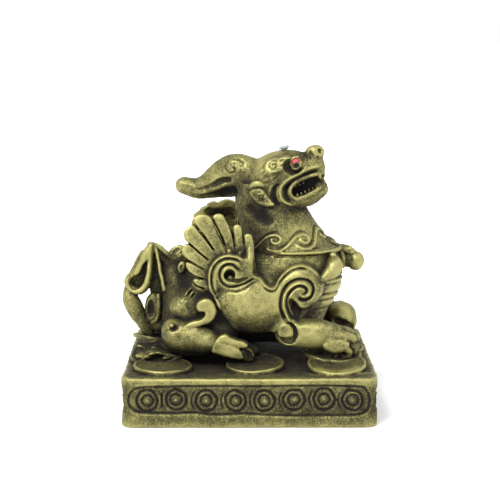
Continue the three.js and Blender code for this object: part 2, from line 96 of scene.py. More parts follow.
def rod(start, end, half_start, half_end, up):
    """One straight piece of a strand."""
    along = end - start
    length = along @ along
    reach = max(half_start.max(), half_end.max())
    is_round = half_start[0] == half_start[1] and half_end[0] == half_end[1]
    rise_way = up - along * (up @ along) / length
    rise_way = rise_way / (np.linalg.norm(rise_way) + 1e-9)

    def measure(x, y, z):
        x, y, z = x - start[0], y - start[1], z - start[2]
        t = np.clip((x * along[0] + y * along[1] + z * along[2]) / length, 0, 1)
        x, y, z = x - t * along[0], y - t * along[1], z - t * along[2]
        whole = x * x + y * y + z * z
        width = half_start[0] + (half_end[0] - half_start[0]) * t
        if is_round:
            return np.sqrt(whole) - width
        height = half_start[1] + (half_end[1] - half_start[1]) * t
        rise = (x * rise_way[0] + y * rise_way[1] + z * rise_way[2]) ** 2
        return oval_distance(whole - rise, rise, width, height)

    return np.minimum(start, end) - reach, np.maximum(start, end) + reach, measure


def strand(rows, up=UP, gap=0.5):
    """A tapering rod on a flowing line.

    Rows are x, y, z, half width and, where it isn't round, half height along up.
    """
    line = flowing([(*row, row[-1]) if len(row) == 4 else row for row in rows], gap)
    places, halves = line[:, :3], np.maximum(line[:, 3:], 0.05)
    up = np.array(up, float)
    return [
        rod(a, b, ha, hb, up)
        for a, b, ha, hb in zip(places, places[1:], halves, halves[1:])
        if np.linalg.norm(b - a) > 1e-6
    ]


def outward(rows, side):
    """Rows whose second number is how far out from the middle they lie, laid on that side."""
    return [(along, out * side, *rest) for along, out, *rest in rows]


def tilted(about_x=0, about_y=0, about_z=0):
    """The three directions of something turned by these degrees, about x first."""
    a, b, c = (math.radians(v) for v in (about_x, about_y, about_z))
    turn_x = [[1, 0, 0], [0, math.cos(a), -math.sin(a)], [0, math.sin(a), math.cos(a)]]
    turn_y = [[math.cos(b), 0, math.sin(b)], [0, 1, 0], [-math.sin(b), 0, math.cos(b)]]
    turn_z = [[math.cos(c), -math.sin(c), 0], [math.sin(c), math.cos(c), 0], [0, 0, 1]]
    return (np.array(turn_z) @ np.array(turn_y) @ np.array(turn_x)).T


def placed(shape, origin, ways):
    """A shape made in a frame of its own, as the block sees it."""
    origin = np.array(origin, float)

    def moved(low, high, measure):
        corners = np.array(list(itertools.product(*zip(low, high)))) @ ways + origin

        def seen(x, y, z):
            x, y, z = x - origin[0], y - origin[1], z - origin[2]
            return measure(*(w[0] * x + w[1] * y + w[2] * z for w in ways))

        return corners.min(0), corners.max(0), seen

    return [moved(*piece) for piece in shape]


def ball(centre, radii, turn=(0, 0, 0)):
    """An egg with these half sizes, turned by degrees about x, y and z."""
    radii = np.array(radii, float)

    def measure(x, y, z):
        x, y, z = x / radii[0], y / radii[1], z / radii[2]
        out = np.sqrt(x * x + y * y + z * z)
        steep = np.sqrt((x / radii[0]) ** 2 + (y / radii[1]) ** 2 + (z / radii[2]) ** 2)
        return out * (out - 1) / (steep + 1e-6)

    return placed([(-radii, radii, measure)], centre, tilted(*turn))


def tower(levels, gap=0.5):
    """Level ovals stacked up z. Rows are z, centre x, centre y, half x and half y."""
    line = flowing([(r[0], r[1], 0, *r[1:]) for r in levels], gap)
    heights, sizes = line[:, 0], line[:, 3:]
    low = np.array([*(sizes[:, :2] - sizes[:, 2:]).min(0), heights[0]])
    high = np.array([*(sizes[:, :2] + sizes[:, 2:]).max(0), heights[-1]])

    def measure(x, y, z):
        mid_x, mid_y, half_x, half_y = (np.interp(z, heights, s) for s in sizes.T)
        side = oval_distance((x - mid_x) ** 2, (y - mid_y) ** 2, half_x, half_y)
        return np.maximum(side, np.maximum(low[2] - z, z - high[2]))

    return [(low, high, measure)]


def slab(half_x, half_y, low_z, high_z, corner, edge):
    """A plate with rounded corners and rounded edges, centred on x and y."""
    mid, half_z = (low_z + high_z) / 2, (high_z - low_z) / 2

    def measure(x, y, z):
        out_x = np.maximum(np.abs(x) - half_x + corner, 0)
        out_y = np.maximum(np.abs(y) - half_y + corner, 0)
        inside = np.minimum(np.maximum(np.abs(x) - half_x, np.abs(y) - half_y) + corner, 0)
        side = np.sqrt(out_x**2 + out_y**2) + inside - corner + edge
        rise = np.abs(z - mid) - half_z + edge
        return round_edged(side, rise, edge)

    return [(np.array([-half_x, -half_y, low_z]), np.array([half_x, half_y, high_z]), measure)]


def disc(radius, half_thick, edge):
    """A coin blank lying flat on its centre."""

    def measure(x, y, z):
        side = np.sqrt(x * x + y * y) - radius + edge
        rise = np.abs(z) - half_thick + edge
        return round_edged(side, rise, edge)

    reach = np.array([radius, radius, half_thick])
    return [(-reach, reach, measure)]


def blurred(block, cells):
    """The block averaged over this many cells each way, twice."""
    for axis in range(block.ndim):
        for before in (cells // 2 + 1, cells - cells // 2):
            pad = [(0, 0)] * block.ndim
            pad[axis] = (before, cells - before)
            total = np.cumsum(np.pad(block, pad, mode="edge"), axis=axis, dtype=np.float32)
            ends = [slice(None)] * block.ndim
            starts = list(ends)
            ends[axis], starts[axis] = slice(cells, None), slice(None, -cells)
            block = (total[tuple(ends)] - total[tuple(starts)]) / cells
    return block


def lump_noise(shape, cells, seed):
    """Soft random lumps about this many cells across, about -1 to 1."""
    noise = np.random.default_rng(seed).standard_normal(shape, dtype=np.float32)
    noise = blurred(noise, cells)
    return noise / (2 * noise.std())


class Wax:
    """A block of carving wax between two corners."""

    def __init__(self, low, high, step=STEP):
        self.step = step
        self.first = np.round(np.array(low) / step).astype(int)
        counts = np.round(np.array(high) / step).astype(int) - self.first + 1
        self.axes = [
            ((f + np.arange(n)) * step).astype(np.float32) for f, n in zip(self.first, counts)
        ]
        self.field = np.full(counts, REACH, np.float32)

    def window(self, low, high):
        """The part of the grid in a box, and its x, y and z."""
        spans = []
        for first, axis, start, end in zip(self.first, self.axes, low, high):
            begin = min(max(math.floor(start / self.step) - first, 0), len(axis))
            stop = min(max(math.ceil(end / self.step) - first + 1, begin), len(axis))
            spans.append(slice(begin, stop))
        x, y, z = (axis[span] for axis, span in zip(self.axes, spans))
        return tuple(spans), (x[:, None, None], y[None, :, None], z[None, None, :])

    def distance(self, shape):
        """How far the shape is from each point of the window that holds it."""
        low = np.min([piece[0] for piece in shape], axis=0) - MARGIN
        high = np.max([piece[1] for piece in shape], axis=0) + MARGIN
        spans, _ = self.window(low, high)
        near = np.full([s.stop - s.start for s in spans], REACH, np.float32)
        for piece_low, piece_high, measure in shape:
            part, axes = self.window(piece_low - MARGIN, piece_high + MARGIN)
            inner = tuple(slice(p.start - s.start, p.stop - s.start) for p, s in zip(part, spans))
            if near[inner].size:
                near[inner] = np.minimum(near[inner], measure(*axes))
        return spans, near

    def add(self, shape, soft=0.0):
        """Lays the shape on, with a fillet about that wide in mm."""
        spans, near = self.distance(shape)
        was = self.field[spans]
        close = np.maximum(soft - np.abs(was - near), 0) if soft else 0
        self.field[spans] = np.minimum(was, near) - close * close / (4 * soft or 1)

    def cut(self, shape, soft=0.0):
        """Takes the shape away, with the edge rounded about that wide in mm."""
        spans, near = self.distance(shape)
        was = self.field[spans]
        close = np.maximum(soft - np.abs(was + near), 0) if soft else 0
        self.field[spans] = np.maximum(was, -near) + close * close / (4 * soft or 1)

    def emboss(self, relief, low, high, place):
        """Lifts the skin in a box by a relief.

        place turns x, y and z into the relief's two directions and how much of it lands there.
        """
        spans, axes = self.window(low, high)
        across, rise, share = place(*axes)
        self.field[spans] -= relief.at(across, rise) * share

    def roughen(self, amount, grain, seed):
        """Uneven skin, as a cast from a hand-cut mould has, in lumps about grain mm wide."""
        cells = max(1, round(grain / self.step))
        self.field += amount * lump_noise(self.field.shape, cells, seed)


class Relief:
    """Heights in mm over a flat sheet, drawn with lines and patches."""

    def __init__(self, low, high, step=0.1):
        self.low, self.step = np.array(low, float), step
        counts = np.ceil((np.array(high) - self.low) / step).astype(int) + 1
        self.axes = [start + step * np.arange(n) for start, n in zip(self.low, counts)]
        self.height = np.zeros(counts, np.float32)

    def window(self, low, high):
        spans = [
            slice(max(int((a - start) / self.step), 0), max(int((b - start) / self.step) + 2, 0))
            for a, b, start in zip(low, high, self.low)
        ]
        a, b = (axis[span] for axis, span in zip(self.axes, spans))
        return tuple(spans), a[:, None], b[None, :]

    def distance(self, line, pad):
        """How far each point near the line is from it, and how far along the nearest one is."""
        spans, a, b = self.window(line.min(0) - pad, line.max(0) + pad)
        best = np.full(np.broadcast_shapes(a.shape, b.shape), 99.0)
        share = np.zeros_like(best)
        for i, (start, end) in enumerate(zip(line, line[1:])):
            way = end - start
            t = ((a - start[0]) * way[0] + (b - start[1]) * way[1]) / max(way @ way, 1e-9)
            t = np.clip(t, 0, 1)
            away = np.hypot(a - start[0] - t * way[0], b - start[1] - t * way[1])
            share = np.where(away < best, (i + t) / (len(line) - 1), share)
            best = np.minimum(best, away)
        return spans, best, share

    def line(self, points, half, height, taper=0.0):
        """A rounded bead along the points, or a groove if height is below zero.

        taper is the share of its length over which each end runs out.
        """
        spans, away, share = self.distance(flowing(points, 0.3), 3 * half)
        if taper:
            height = height * np.clip(np.minimum(share, 1 - share) / taper, 0, 1)
        self.height[spans] += height * np.exp(-((away / half) ** 2))

    def inside(self, outline, pad):
        """How far each point near a smooth closed outline is inside it, below zero outside."""
        points = np.array([*outline, outline[0]], float)
        loop = flowing([points[-2], *points, points[1]], 0.3)
        first = np.linalg.norm(loop - points[0], axis=1).argmin()
        last = len(loop) - 1 - np.linalg.norm(loop[::-1] - points[-1], axis=1).argmin()
        loop = loop[first : last + 1]
        spans, away, _ = self.distance(loop, pad)
        _, a, b = self.window(loop.min(0) - pad, loop.max(0) + pad)
        within = np.zeros(away.shape, bool)
        for start, end in zip(loop, loop[1:]):
            crosses = (start[1] > b) != (end[1] > b)
            rise = (end[1] - start[1]) or 1e-9
            within ^= crosses & (a < start[0] + (b - start[1]) * (end[0] - start[0]) / rise)
        return spans, np.where(within, away, -away)

    def patch(self, outline, height, edge):
        """Lifts the area inside a smooth closed outline, with a rounded edge that wide."""
        spans, deep = self.inside(outline, edge)
        depth = np.clip(deep / edge * 0.5 + 0.5, 0, 1)
        self.height[spans] += height * depth * depth * (3 - 2 * depth)

    def at(self, a, b):
        """The heights at these places, read between the grid's points."""
        a = np.clip((a - self.low[0]) / self.step, 0, self.height.shape[0] - 1.001)
        b = np.clip((b - self.low[1]) / self.step, 0, self.height.shape[1] - 1.001)
        i, j = a.astype(int), b.astype(int)
        s, t = a - i, b - j
        h = self.height
        return (h[i, j] * (1 - t) + h[i, j + 1] * t) * (1 - s) + (
            h[i + 1, j] * (1 - t) + h[i + 1, j + 1] * t
        ) * s


def plate(outline, start, end, edge, grow=0.0):
    """A flat plate, its smooth outline seen from the side in x and z, between two y.

    grow is how far in mm the plate reaches past its outline.
    """
    outline = np.array(outline, float)
    sheet = Relief(outline.min(0) - 2.5, outline.max(0) + 2.5)
    sheet.height[:] = -REACH
    spans, deep = sheet.inside(outline, 2)
    sheet.height[spans] = deep
    middle, half = (start + end) / 2, abs(end - start) / 2

    def measure(x, y, z):
        side = edge - grow - sheet.at(x, z)
        rise = np.abs(y - middle) - half + edge
        return round_edged(side, rise, edge)

    low = np.array([outline[:, 0].min() - grow, middle - half, outline[:, 1].min() - grow])
    high = np.array([outline[:, 0].max() + grow, middle + half, outline[:, 1].max() + grow])
    return [(low, high, measure)]


def spiral(centre, start, end, radius, turns, count=14):
    """Points winding in round the centre, from the angle start (degrees) and from radius to end."""
    angles = np.radians(start + 360 * turns * np.linspace(0, 1, count))
    radii = radius + (end - radius) * np.linspace(0, 1, count)
    return np.stack([centre[0] + radii * np.cos(angles), centre[1] + radii * np.sin(angles)], -1)


# Base and coins


def lay_base(wax):
    """The square plinth, with rounded corners and edges and a top that sags a little."""
    half = BASE_SIDE / 2 - 0.1
    wax.add(slab(half, half, -BASE_HEIGHT, 0, BASE_CORNER, 0.5))
    sag = Relief((-26, -26), (26, 26), 0.4)
    hollow = [
        (-20, -20), (0, -22), (20, -20), (22, 0), (20, 20), (0, 22), (-20, 20), (-22, 0),
    ]
    sag.patch(hollow, -0.25, 5)

    def on_top(x, y, z):
        return x, y, np.clip((z + 2) / 2, 0, 1)

    wax.emboss(sag, (-26, -26, -2), (26, 26, 1), on_top)


RING_COUNT = 8
RING_PITCH = 5.68
RING_HEIGHT = -4.3
RING_CUTS = ((2.05, 0.28, -0.4), (1.1, 0.24, -0.34))  # radius, half width and depth of each cut


def band_relief(seed):
    """The long panel on a side of the plinth: eight cut rings in a row."""
    panel = Relief((-26, -10), (26, 1))
    uneven = np.random.default_rng(seed)
    border = [
        (-21, -1.75), (-14, -1.55), (-7, -1.5), (0, -1.55), (7, -1.5), (14, -1.45), (21, -1.6),
        (22.4, -2.2), (23.2, -4.2), (22.6, -6.4), (20.5, -7.2), (14, -7.3), (9, -7.35), (3, -7.2),
        (-1, -6.95), (-7, -7.1), (-11, -6.7), (-15, -6.85), (-21, -6.7), (-23, -5.8), (-23.6, -4.2),
        (-22.8, -2.5),
    ]
    panel.patch(border, -0.18, 0.5)
    panel.line([*border, *border[:2]], 0.26, -0.36)
    for i in range(RING_COUNT):
        middle = (i - (RING_COUNT - 1) / 2) * RING_PITCH + uneven.uniform(-0.15, 0.15)
        height = RING_HEIGHT + uneven.uniform(-0.2, 0.2)
        corners = np.radians(np.arange(0, 360, 60) + uneven.uniform(0, 60))
        for radius, half, deep in RING_CUTS:
            ring = [
                (middle + radius * math.cos(a) * w, height + radius * math.sin(a) * w)
                for a, w in zip(corners, uneven.uniform(0.94, 1.06, len(corners)))
            ]
            panel.line([*ring, *ring[:2]], half, deep)
        panel.line([(middle - 0.05, height), (middle + 0.05, height)], 0.42, 0.35)
        # a short second cut on the left of the ring, or on the right of the first one
        turn = math.pi if i else 0
        arc = [
            (middle + 2.85 * math.cos(turn + a), height + 2.75 * math.sin(turn + a))
            for a in np.linspace(-0.8, 0.8, 7)
        ]
        panel.line(arc, 0.21, -0.32, 0.25)
    return panel


def carve_bands(wax):
    """The panels on the plinth's four sides."""
    half = BASE_SIDE / 2
    for seed, (ahead_x, ahead_y) in enumerate(((0, -1), (1, 0), (0, 1), (-1, 0))):

        def place(x, y, z, ahead_x=ahead_x, ahead_y=ahead_y):
            out = x * ahead_x + y * ahead_y
            across = y * ahead_x - x * ahead_y
            return across, z + 0 * x, np.clip((out - half + 1.6) / 0.8, 0, 1)

        middle = np.array([ahead_x, ahead_y, 0]) * half
        spread = np.array([abs(ahead_y), abs(ahead_x), 0]) * half
        low = middle - spread - (2.4, 2.4, BASE_HEIGHT)
        high = middle + spread + (2.4, 2.4, 0)
        wax.emboss(band_relief(seed), low, high, place)


COIN_RADIUS = 5.8
COIN_THICKNESS = 0.95
COIN_RIM = 0.5
COIN_MARK = 1.3  # half the side of the square in the middle
# Each coin's place as shares of the base's half side, how high it lies in mm, how many are
# stacked there, and their tilt in degrees.
COINS = [
    (-0.69, -0.66, 0, 1, (2, 1)),
    (0.04, -0.61, 0, 1, (5, -2)),
    (0.69, -0.66, 0.3, 1, (10, -1)),
    (0.67, -0.44, 1.2, 1, (6, 3)),
    (-0.74, -0.34, 0.6, 1, (14, -8)),
    (-0.72, -0.06, 0.2, 3, (-8, 9)),
    (-0.68, 0.22, 0, 4, (3, 3)),
    (-0.66, 0.7, 0, 1, (0, -2)),
    (-0.1, 0.62, 0, 1, (-2, 1)),
    (0.68, 0.7, 0, 1, (-3, 2)),
    (0.73, 0.04, 0, 1, (0, 3)),
]
# Crumbs of the mould: their middle, how far they spread, how high they lie and how many.
CRUMBS = [
    (-18.6, -9.4, 3, 2.3, 22),
    (-18.8, -5, 3, 3.3, 26),
    (-19.4, 0.4, 2.8, 3.6, 20),
    (17.6, -12, 2.4, 2.5, 20),
    (20, -9.4, 2.2, 2.2, 12),
    (1.6, -9.6, 3, 1.1, 12),
]


def lay_coins(wax):
    """Old coins strewn on the plinth, each a dished blank with a raised rim and a square in it."""
    for share_x, share_y, lift, stack, (tilt_x, tilt_y) in COINS:
        for level in range(stack):
            x = share_x * BASE_SIDE / 2 + 0.5 * math.sin(2.3 * level)
            y = share_y * BASE_SIDE / 2 + 0.5 * math.sin(4.1 * level)
            z = lift + COIN_THICKNESS * (level + 0.5) + 0.02 * (abs(tilt_x) + abs(tilt_y))
            ways = tilted(tilt_x, tilt_y)
            top = np.array([x, y, z]) + ways[2] * COIN_THICKNESS / 2
            wax.add(placed(disc(COIN_RADIUS, COIN_THICKNESS / 2, 0.25), (x, y, z), ways), 0.1)
            wax.cut(placed(disc(COIN_RADIUS - COIN_RIM, 0.25, 0.15), top, ways), 0.15)
            wax.cut(placed(slab(COIN_MARK, COIN_MARK, -0.4, 0.4, 0.3, 0.1), top, ways), 0.2)
    # a heap behind, under the tail, and crumbs of the mould left between the coins
    uneven = np.random.default_rng(5)
    wax.add(ball((-18.8, -5, 0), (5.4, 7, 3)), 0.5)
    wax.add(ball((-19, 3.4, 0.4), (4.8, 6, 3)), 0.5)
    for x, y, wide, rise, count in CRUMBS:
        for _ in range(count):
            across = uneven.uniform(-wide, wide)
            along = uneven.uniform(-wide, wide)
            size = uneven.uniform(0.4, 0.95)
            heap = math.sqrt(1 - 0.3 * (across**2 + along**2) / wide**2)
            place = (x + across, y + along, rise * heap * uneven.uniform(0.85, 1.1))
            turn = (uneven.uniform(-30, 30), uneven.uniform(-30, 30), uneven.uniform(0, 180))
            wax.add(ball(place, (1.7 * size, 0.9 * size, 0.45 * size), turn), 0.15)


# Body

CHEST_MIDDLE = 9.3  # how far ahead of the base's middle the chest's own middle lies


def lay_torso(wax):
    """The barrel, chest, rump and shoulders."""
    barrel = [
        (-8.2, 0, 11.2, 8.6, 8.6),
        (-3, 0, 11.5, 10.2, 9.2),
        (4, 0, 11.6, 10.4, 9),
        (7.4, 0, 10.6, 7.6, 6.6),
    ]
    wax.add(strand(barrel))
    chest = [
        (3, 7.6, 0, 6, 5.4),
        (6, 8, 0, 7, 6.8),
        (9, 8.5, 0, 7.7, 7.8),
        (11, 8.8, 0, 8.6, 8.6),
        (13, 9.2, 0, 9.3, 9.2),
        (15.5, 9.4, 0, 9.8, 9.7),
        (19, 9.3, 0, 9.8, 9.7),
        (21.5, 9.3, 0, 9.4, 9.3),
    ]
    wax.add(tower(chest), 1.5)
    wax.add(tower([(20, 8.9, 0, 8.2, 8.2), (23.2, 8.2, 0, 7.4, 7.4)]))
    # the rump, which rises in a thin back towards the tail
    rump = [
        (0.5, -13.6, 0, 4.6, 5),
        (5, -14, 0, 4.8, 7.4),
        (9, -14, 0, 4.6, 8.4),
        (12.5, -14.1, 0, 4.3, 7.8),
        (15, -14.6, 0, 3.8, 6.2),
        (17.6, -15.1, 0, 3.3, 4.4),
        (19.4, -15.4, 0, 2.8, 2.6),
    ]
    wax.add(tower(rump), 1.5)
    wax.add(ball((-15.5, 0, 19.3), (2.9, 2.6, 1.9)), 0.8)
    for side in SIDES:
        wax.add(ball((0.2, 8.4 * side, 12.3), (10, 5.4, 6.2), (0, 6, 0)), 1.2)
        # the shoulder, under the front scroll, and the back below the wing
        wax.add(ball((9.6, 7.6 * side, 14.4), (5, 3.6, 5)), 1.0)
        wax.add(ball((3, 6.4 * side, 17.6), (6, 3.4, 4)), 1.5)


# The wing's feathers as seen from the side: how far each stands out from the fan, how much
# wider than its outline it is, and the outline.
FEATHERS = [
    (-0.5, 0.1, [
        (-11.1, 17), (-10.8, 17.4), (-9.8, 17.4), (-8.4, 17.3), (-7, 17.2), (-7, 15.6),
        (-8.4, 15.6), (-9.6, 15.9), (-10.6, 16.4),
    ]),
    (-0.3, 0.2, [
        (-12.5, 20.7), (-11.4, 20.5), (-10.2, 19.8), (-8.9, 19.2), (-7.2, 18.4), (-7, 17.4),
        (-8.3, 17.5), (-9.8, 17.8), (-11, 18.4), (-11.9, 19.1), (-12.4, 20),
    ]),
    (-0.1, 0.3, [
        (-13.3, 23.2), (-13.1, 23.9), (-12.6, 24.3), (-12, 24.2), (-11, 23.4), (-9.5, 22.1),
        (-8.1, 21), (-6.4, 20), (-6.4, 18.9), (-7.9, 19.1), (-9.2, 19.7), (-10.2, 20.3),
        (-11.2, 20.9), (-12.2, 21.7), (-13, 22.4),
    ]),
    (0.05, 0.35, [
        (-12.8, 26.3), (-12.7, 26.9), (-12.2, 27.4), (-11.5, 27.9), (-10.9, 27.8), (-10, 26.5),
        (-8.8, 25.1), (-7.6, 23.5), (-6.6, 22.3), (-5.6, 21), (-6.4, 20.4), (-7.5, 21.1),
        (-9.1, 22.2), (-10.4, 23.2), (-11.8, 24.6), (-12.6, 25.5),
    ]),
    (0.2, 0.38, [
        (-11, 29.2), (-10.5, 29.8), (-9.5, 30.1), (-8.3, 29.8), (-7.7, 29.1), (-7.4, 28),
        (-6.9, 26.8), (-6.1, 25.2), (-5.4, 23.6), (-4.9, 22.4), (-4.9, 21.2), (-5.8, 21.6),
        (-6.3, 22.6), (-7.4, 24.3), (-8.6, 26.2), (-10.2, 28),
    ]),
    (0, 0.4, [
        (-7.2, 29.5), (-6.9, 30), (-6.3, 30.2), (-5.6, 30), (-5.1, 29.1), (-4.5, 28), (-4.1, 26.9),
        (-3.8, 25.8), (-3.6, 24.6), (-3.3, 22.9), (-3.3, 21.4), (-4.2, 21.6), (-4.7, 23.5),
        (-5.4, 25.5), (-6.4, 27.4), (-7.1, 28.8),
    ]),
    (-0.1, 0.2, [
        (-3.1, 27.3), (-3, 27.9), (-2.4, 28.2), (-1.9, 27.9), (-1.7, 27), (-1.5, 25.5),
        (-1.2, 23.7), (-0.8, 21.4), (-2.5, 21.4), (-2.6, 23), (-2.7, 24.3), (-2.9, 25.9),
    ]),
    (0.35, 0.0, [
        (-1.1, 26), (-0.7, 26.4), (0, 26.4), (0.5, 26), (0.8, 24.6), (0.9, 22.9), (0.6, 20.9),
        (0, 19.4), (-0.8, 19), (-0.7, 21.7), (-0.7, 22.9), (-0.9, 24.6),
    ]),
]
FAN_FOOT = (12.5, 20)  # how far out and how high the fan leaves the flank
FAN_LEAN = 12  # degrees in over the back
FAR_FAN = 0.93  # the far wing is a little smaller


def lay_wing(wax, side):
    """Feathers spread up and back from the wing's scroll, like the fingers of a hand."""
    foot_out, foot_up = FAN_FOOT
    ways = tilted(FAN_LEAN * side)
    tall = 1 if side == NEAR else FAR_FAN
    for proud, grow, outline in FEATHERS:
        outline = [(x * tall, (z - foot_up) * tall) for x, z in outline]
        feather = plate(outline, -2.4 * side, proud * side, 0.4, grow)
        wax.add(placed(feather, (0, foot_out * side, foot_up), ways), 0.05)
    # the sheet that the feathers lie on, and the wing's bone down to the flank
    sheet = [
        (-3.4, 9.7, 20, 1, 3.6),
        (-6.6, 9.2, 23, 0.8, 4.8),
        (-8.2, 8.9, 25, 0.6, 3.8),
    ]
    wax.add(strand(outward(sheet, side), (0.7, 0, 0.7)), 0.4)
    wax.add(ball((-3.5, 10.9 * side, 18.4), (4.9, 2.4, 4.4)), 0.4)
    # buds in the gaps between the feathers' roots
    for x, z, size in ((-4.5, 24.3, 0.4), (-4.1, 22.9, 0.5), (-5, 22.5, 0.4), (-1.9, 22.5, 0.4)):
        wax.add(ball((x, 12.1 * side, z), (size, 1.1 * size, 1.3 * size)))
    # the inner vane, seen over the back
    lift = 0 if side == FAR else -3.4
    vane = [
        (-11.8, 27.2), (-11.2, 28.2), (-10.1, 28.9), (-9.1, 29.4), (-8.5, 30.2), (-7.5, 30.3),
        (-6.6, 30), (-5.7, 30.5), (-4.6, 30.8), (-3.2, 30.6), (-2.6, 29), (-2.3, 26), (-3, 21),
        (-8, 20), (-10.5, 24),
    ]
    vane = [(x, z + lift) for x, z in vane]
    wax.add(plate(vane, 7.7 * side, 8.9 * side, 0.5), 0.2)
    roll = [(-8.3, 29.7), (-7.4, 30), (-6.6, 29.6), (-5.6, 30.1), (-4.4, 30.4), (-3.2, 29.9)]
    wax.add(strand([(x, 8.25 * side, z + lift, 0.7) for x, z in roll]), 0.15)
    recess = [(-8.6, 28.5), (-6.4, 28.1), (-4, 28.4), (-2.9, 27.4)]
    wax.cut(strand([(x, 7.4 * side, z + lift, 0.95) for x, z in recess]), 0.15)


def fan_relief():
    """The cuts between the feathers, from the side."""
    fan = Relief((-16, 12), (0, 33))
    cuts = [
        [(-7.5, 29.6), (-7, 28.5), (-6.3, 27.2), (-5.5, 25.6), (-4.9, 24.1), (-4.6, 23.3)],
        [(-11.4, 28.6), (-10.8, 27.9), (-9.9, 26.7), (-8.7, 25.2), (-7.5, 23.6), (-6.9, 22.8)],
        [(-12.8, 24.8), (-12.1, 24.4), (-11, 23.5), (-9.5, 22.2), (-8.1, 21.1)],
        [(-13.2, 21), (-12.4, 20.9), (-11.4, 20.6), (-10.2, 19.9), (-8.9, 19.2)],
        [(-12, 18.6), (-11.2, 18), (-9.8, 17.6), (-8.9, 17.4)],
        [(-11.4, 16.8), (-10.7, 16.1), (-9.4, 15.6), (-8.8, 15.5)],
    ]
    for cut in cuts:
        fan.line(cut, 0.18, -0.56, 0.12)
    return fan


def on_fan(x, y, z):
    """Lands the fan's side view on both wings, but not on the vanes inside them."""
    tall = np.where(y > 0, FAR_FAN, 1)
    foot_up = FAN_FOOT[1]
    return x / tall, foot_up + (z - foot_up) / tall, np.clip((np.abs(y) - 9) / 1.2, 0, 1)


def carve_wing_eye(wax, side):
    """The inner arm of the wing's scroll, and the deep eye with a bead in it."""
    arm = [
        (0.1, 12.1, 23.4, 0.7),
        (0, 12.9, 21.4, 0.9),
        (-0.8, 13.3, 20, 0.85),
        (-1.9, 13.4, 19.1, 0.7),
        (-2.8, 13.3, 19.2, 0.5),
    ]
    wax.add(strand(outward(arm, side)), 0.4)
    wax.cut(ball((-4, 14.2 * side, 18.4), (1.2, 2, 1.25)), 0.25)
    slot = [
        (-3.3, 13.9, 17.5, 0.6),
        (-2, 14, 17.3, 0.45),
        (-0.6, 13.8, 17.7, 0.25),
    ]
    wax.cut(strand(outward(slot, side)), 0.2)
    wax.add(ball((-3.85, 12.9 * side, 17.75), (0.65, 0.7, 0.6)))


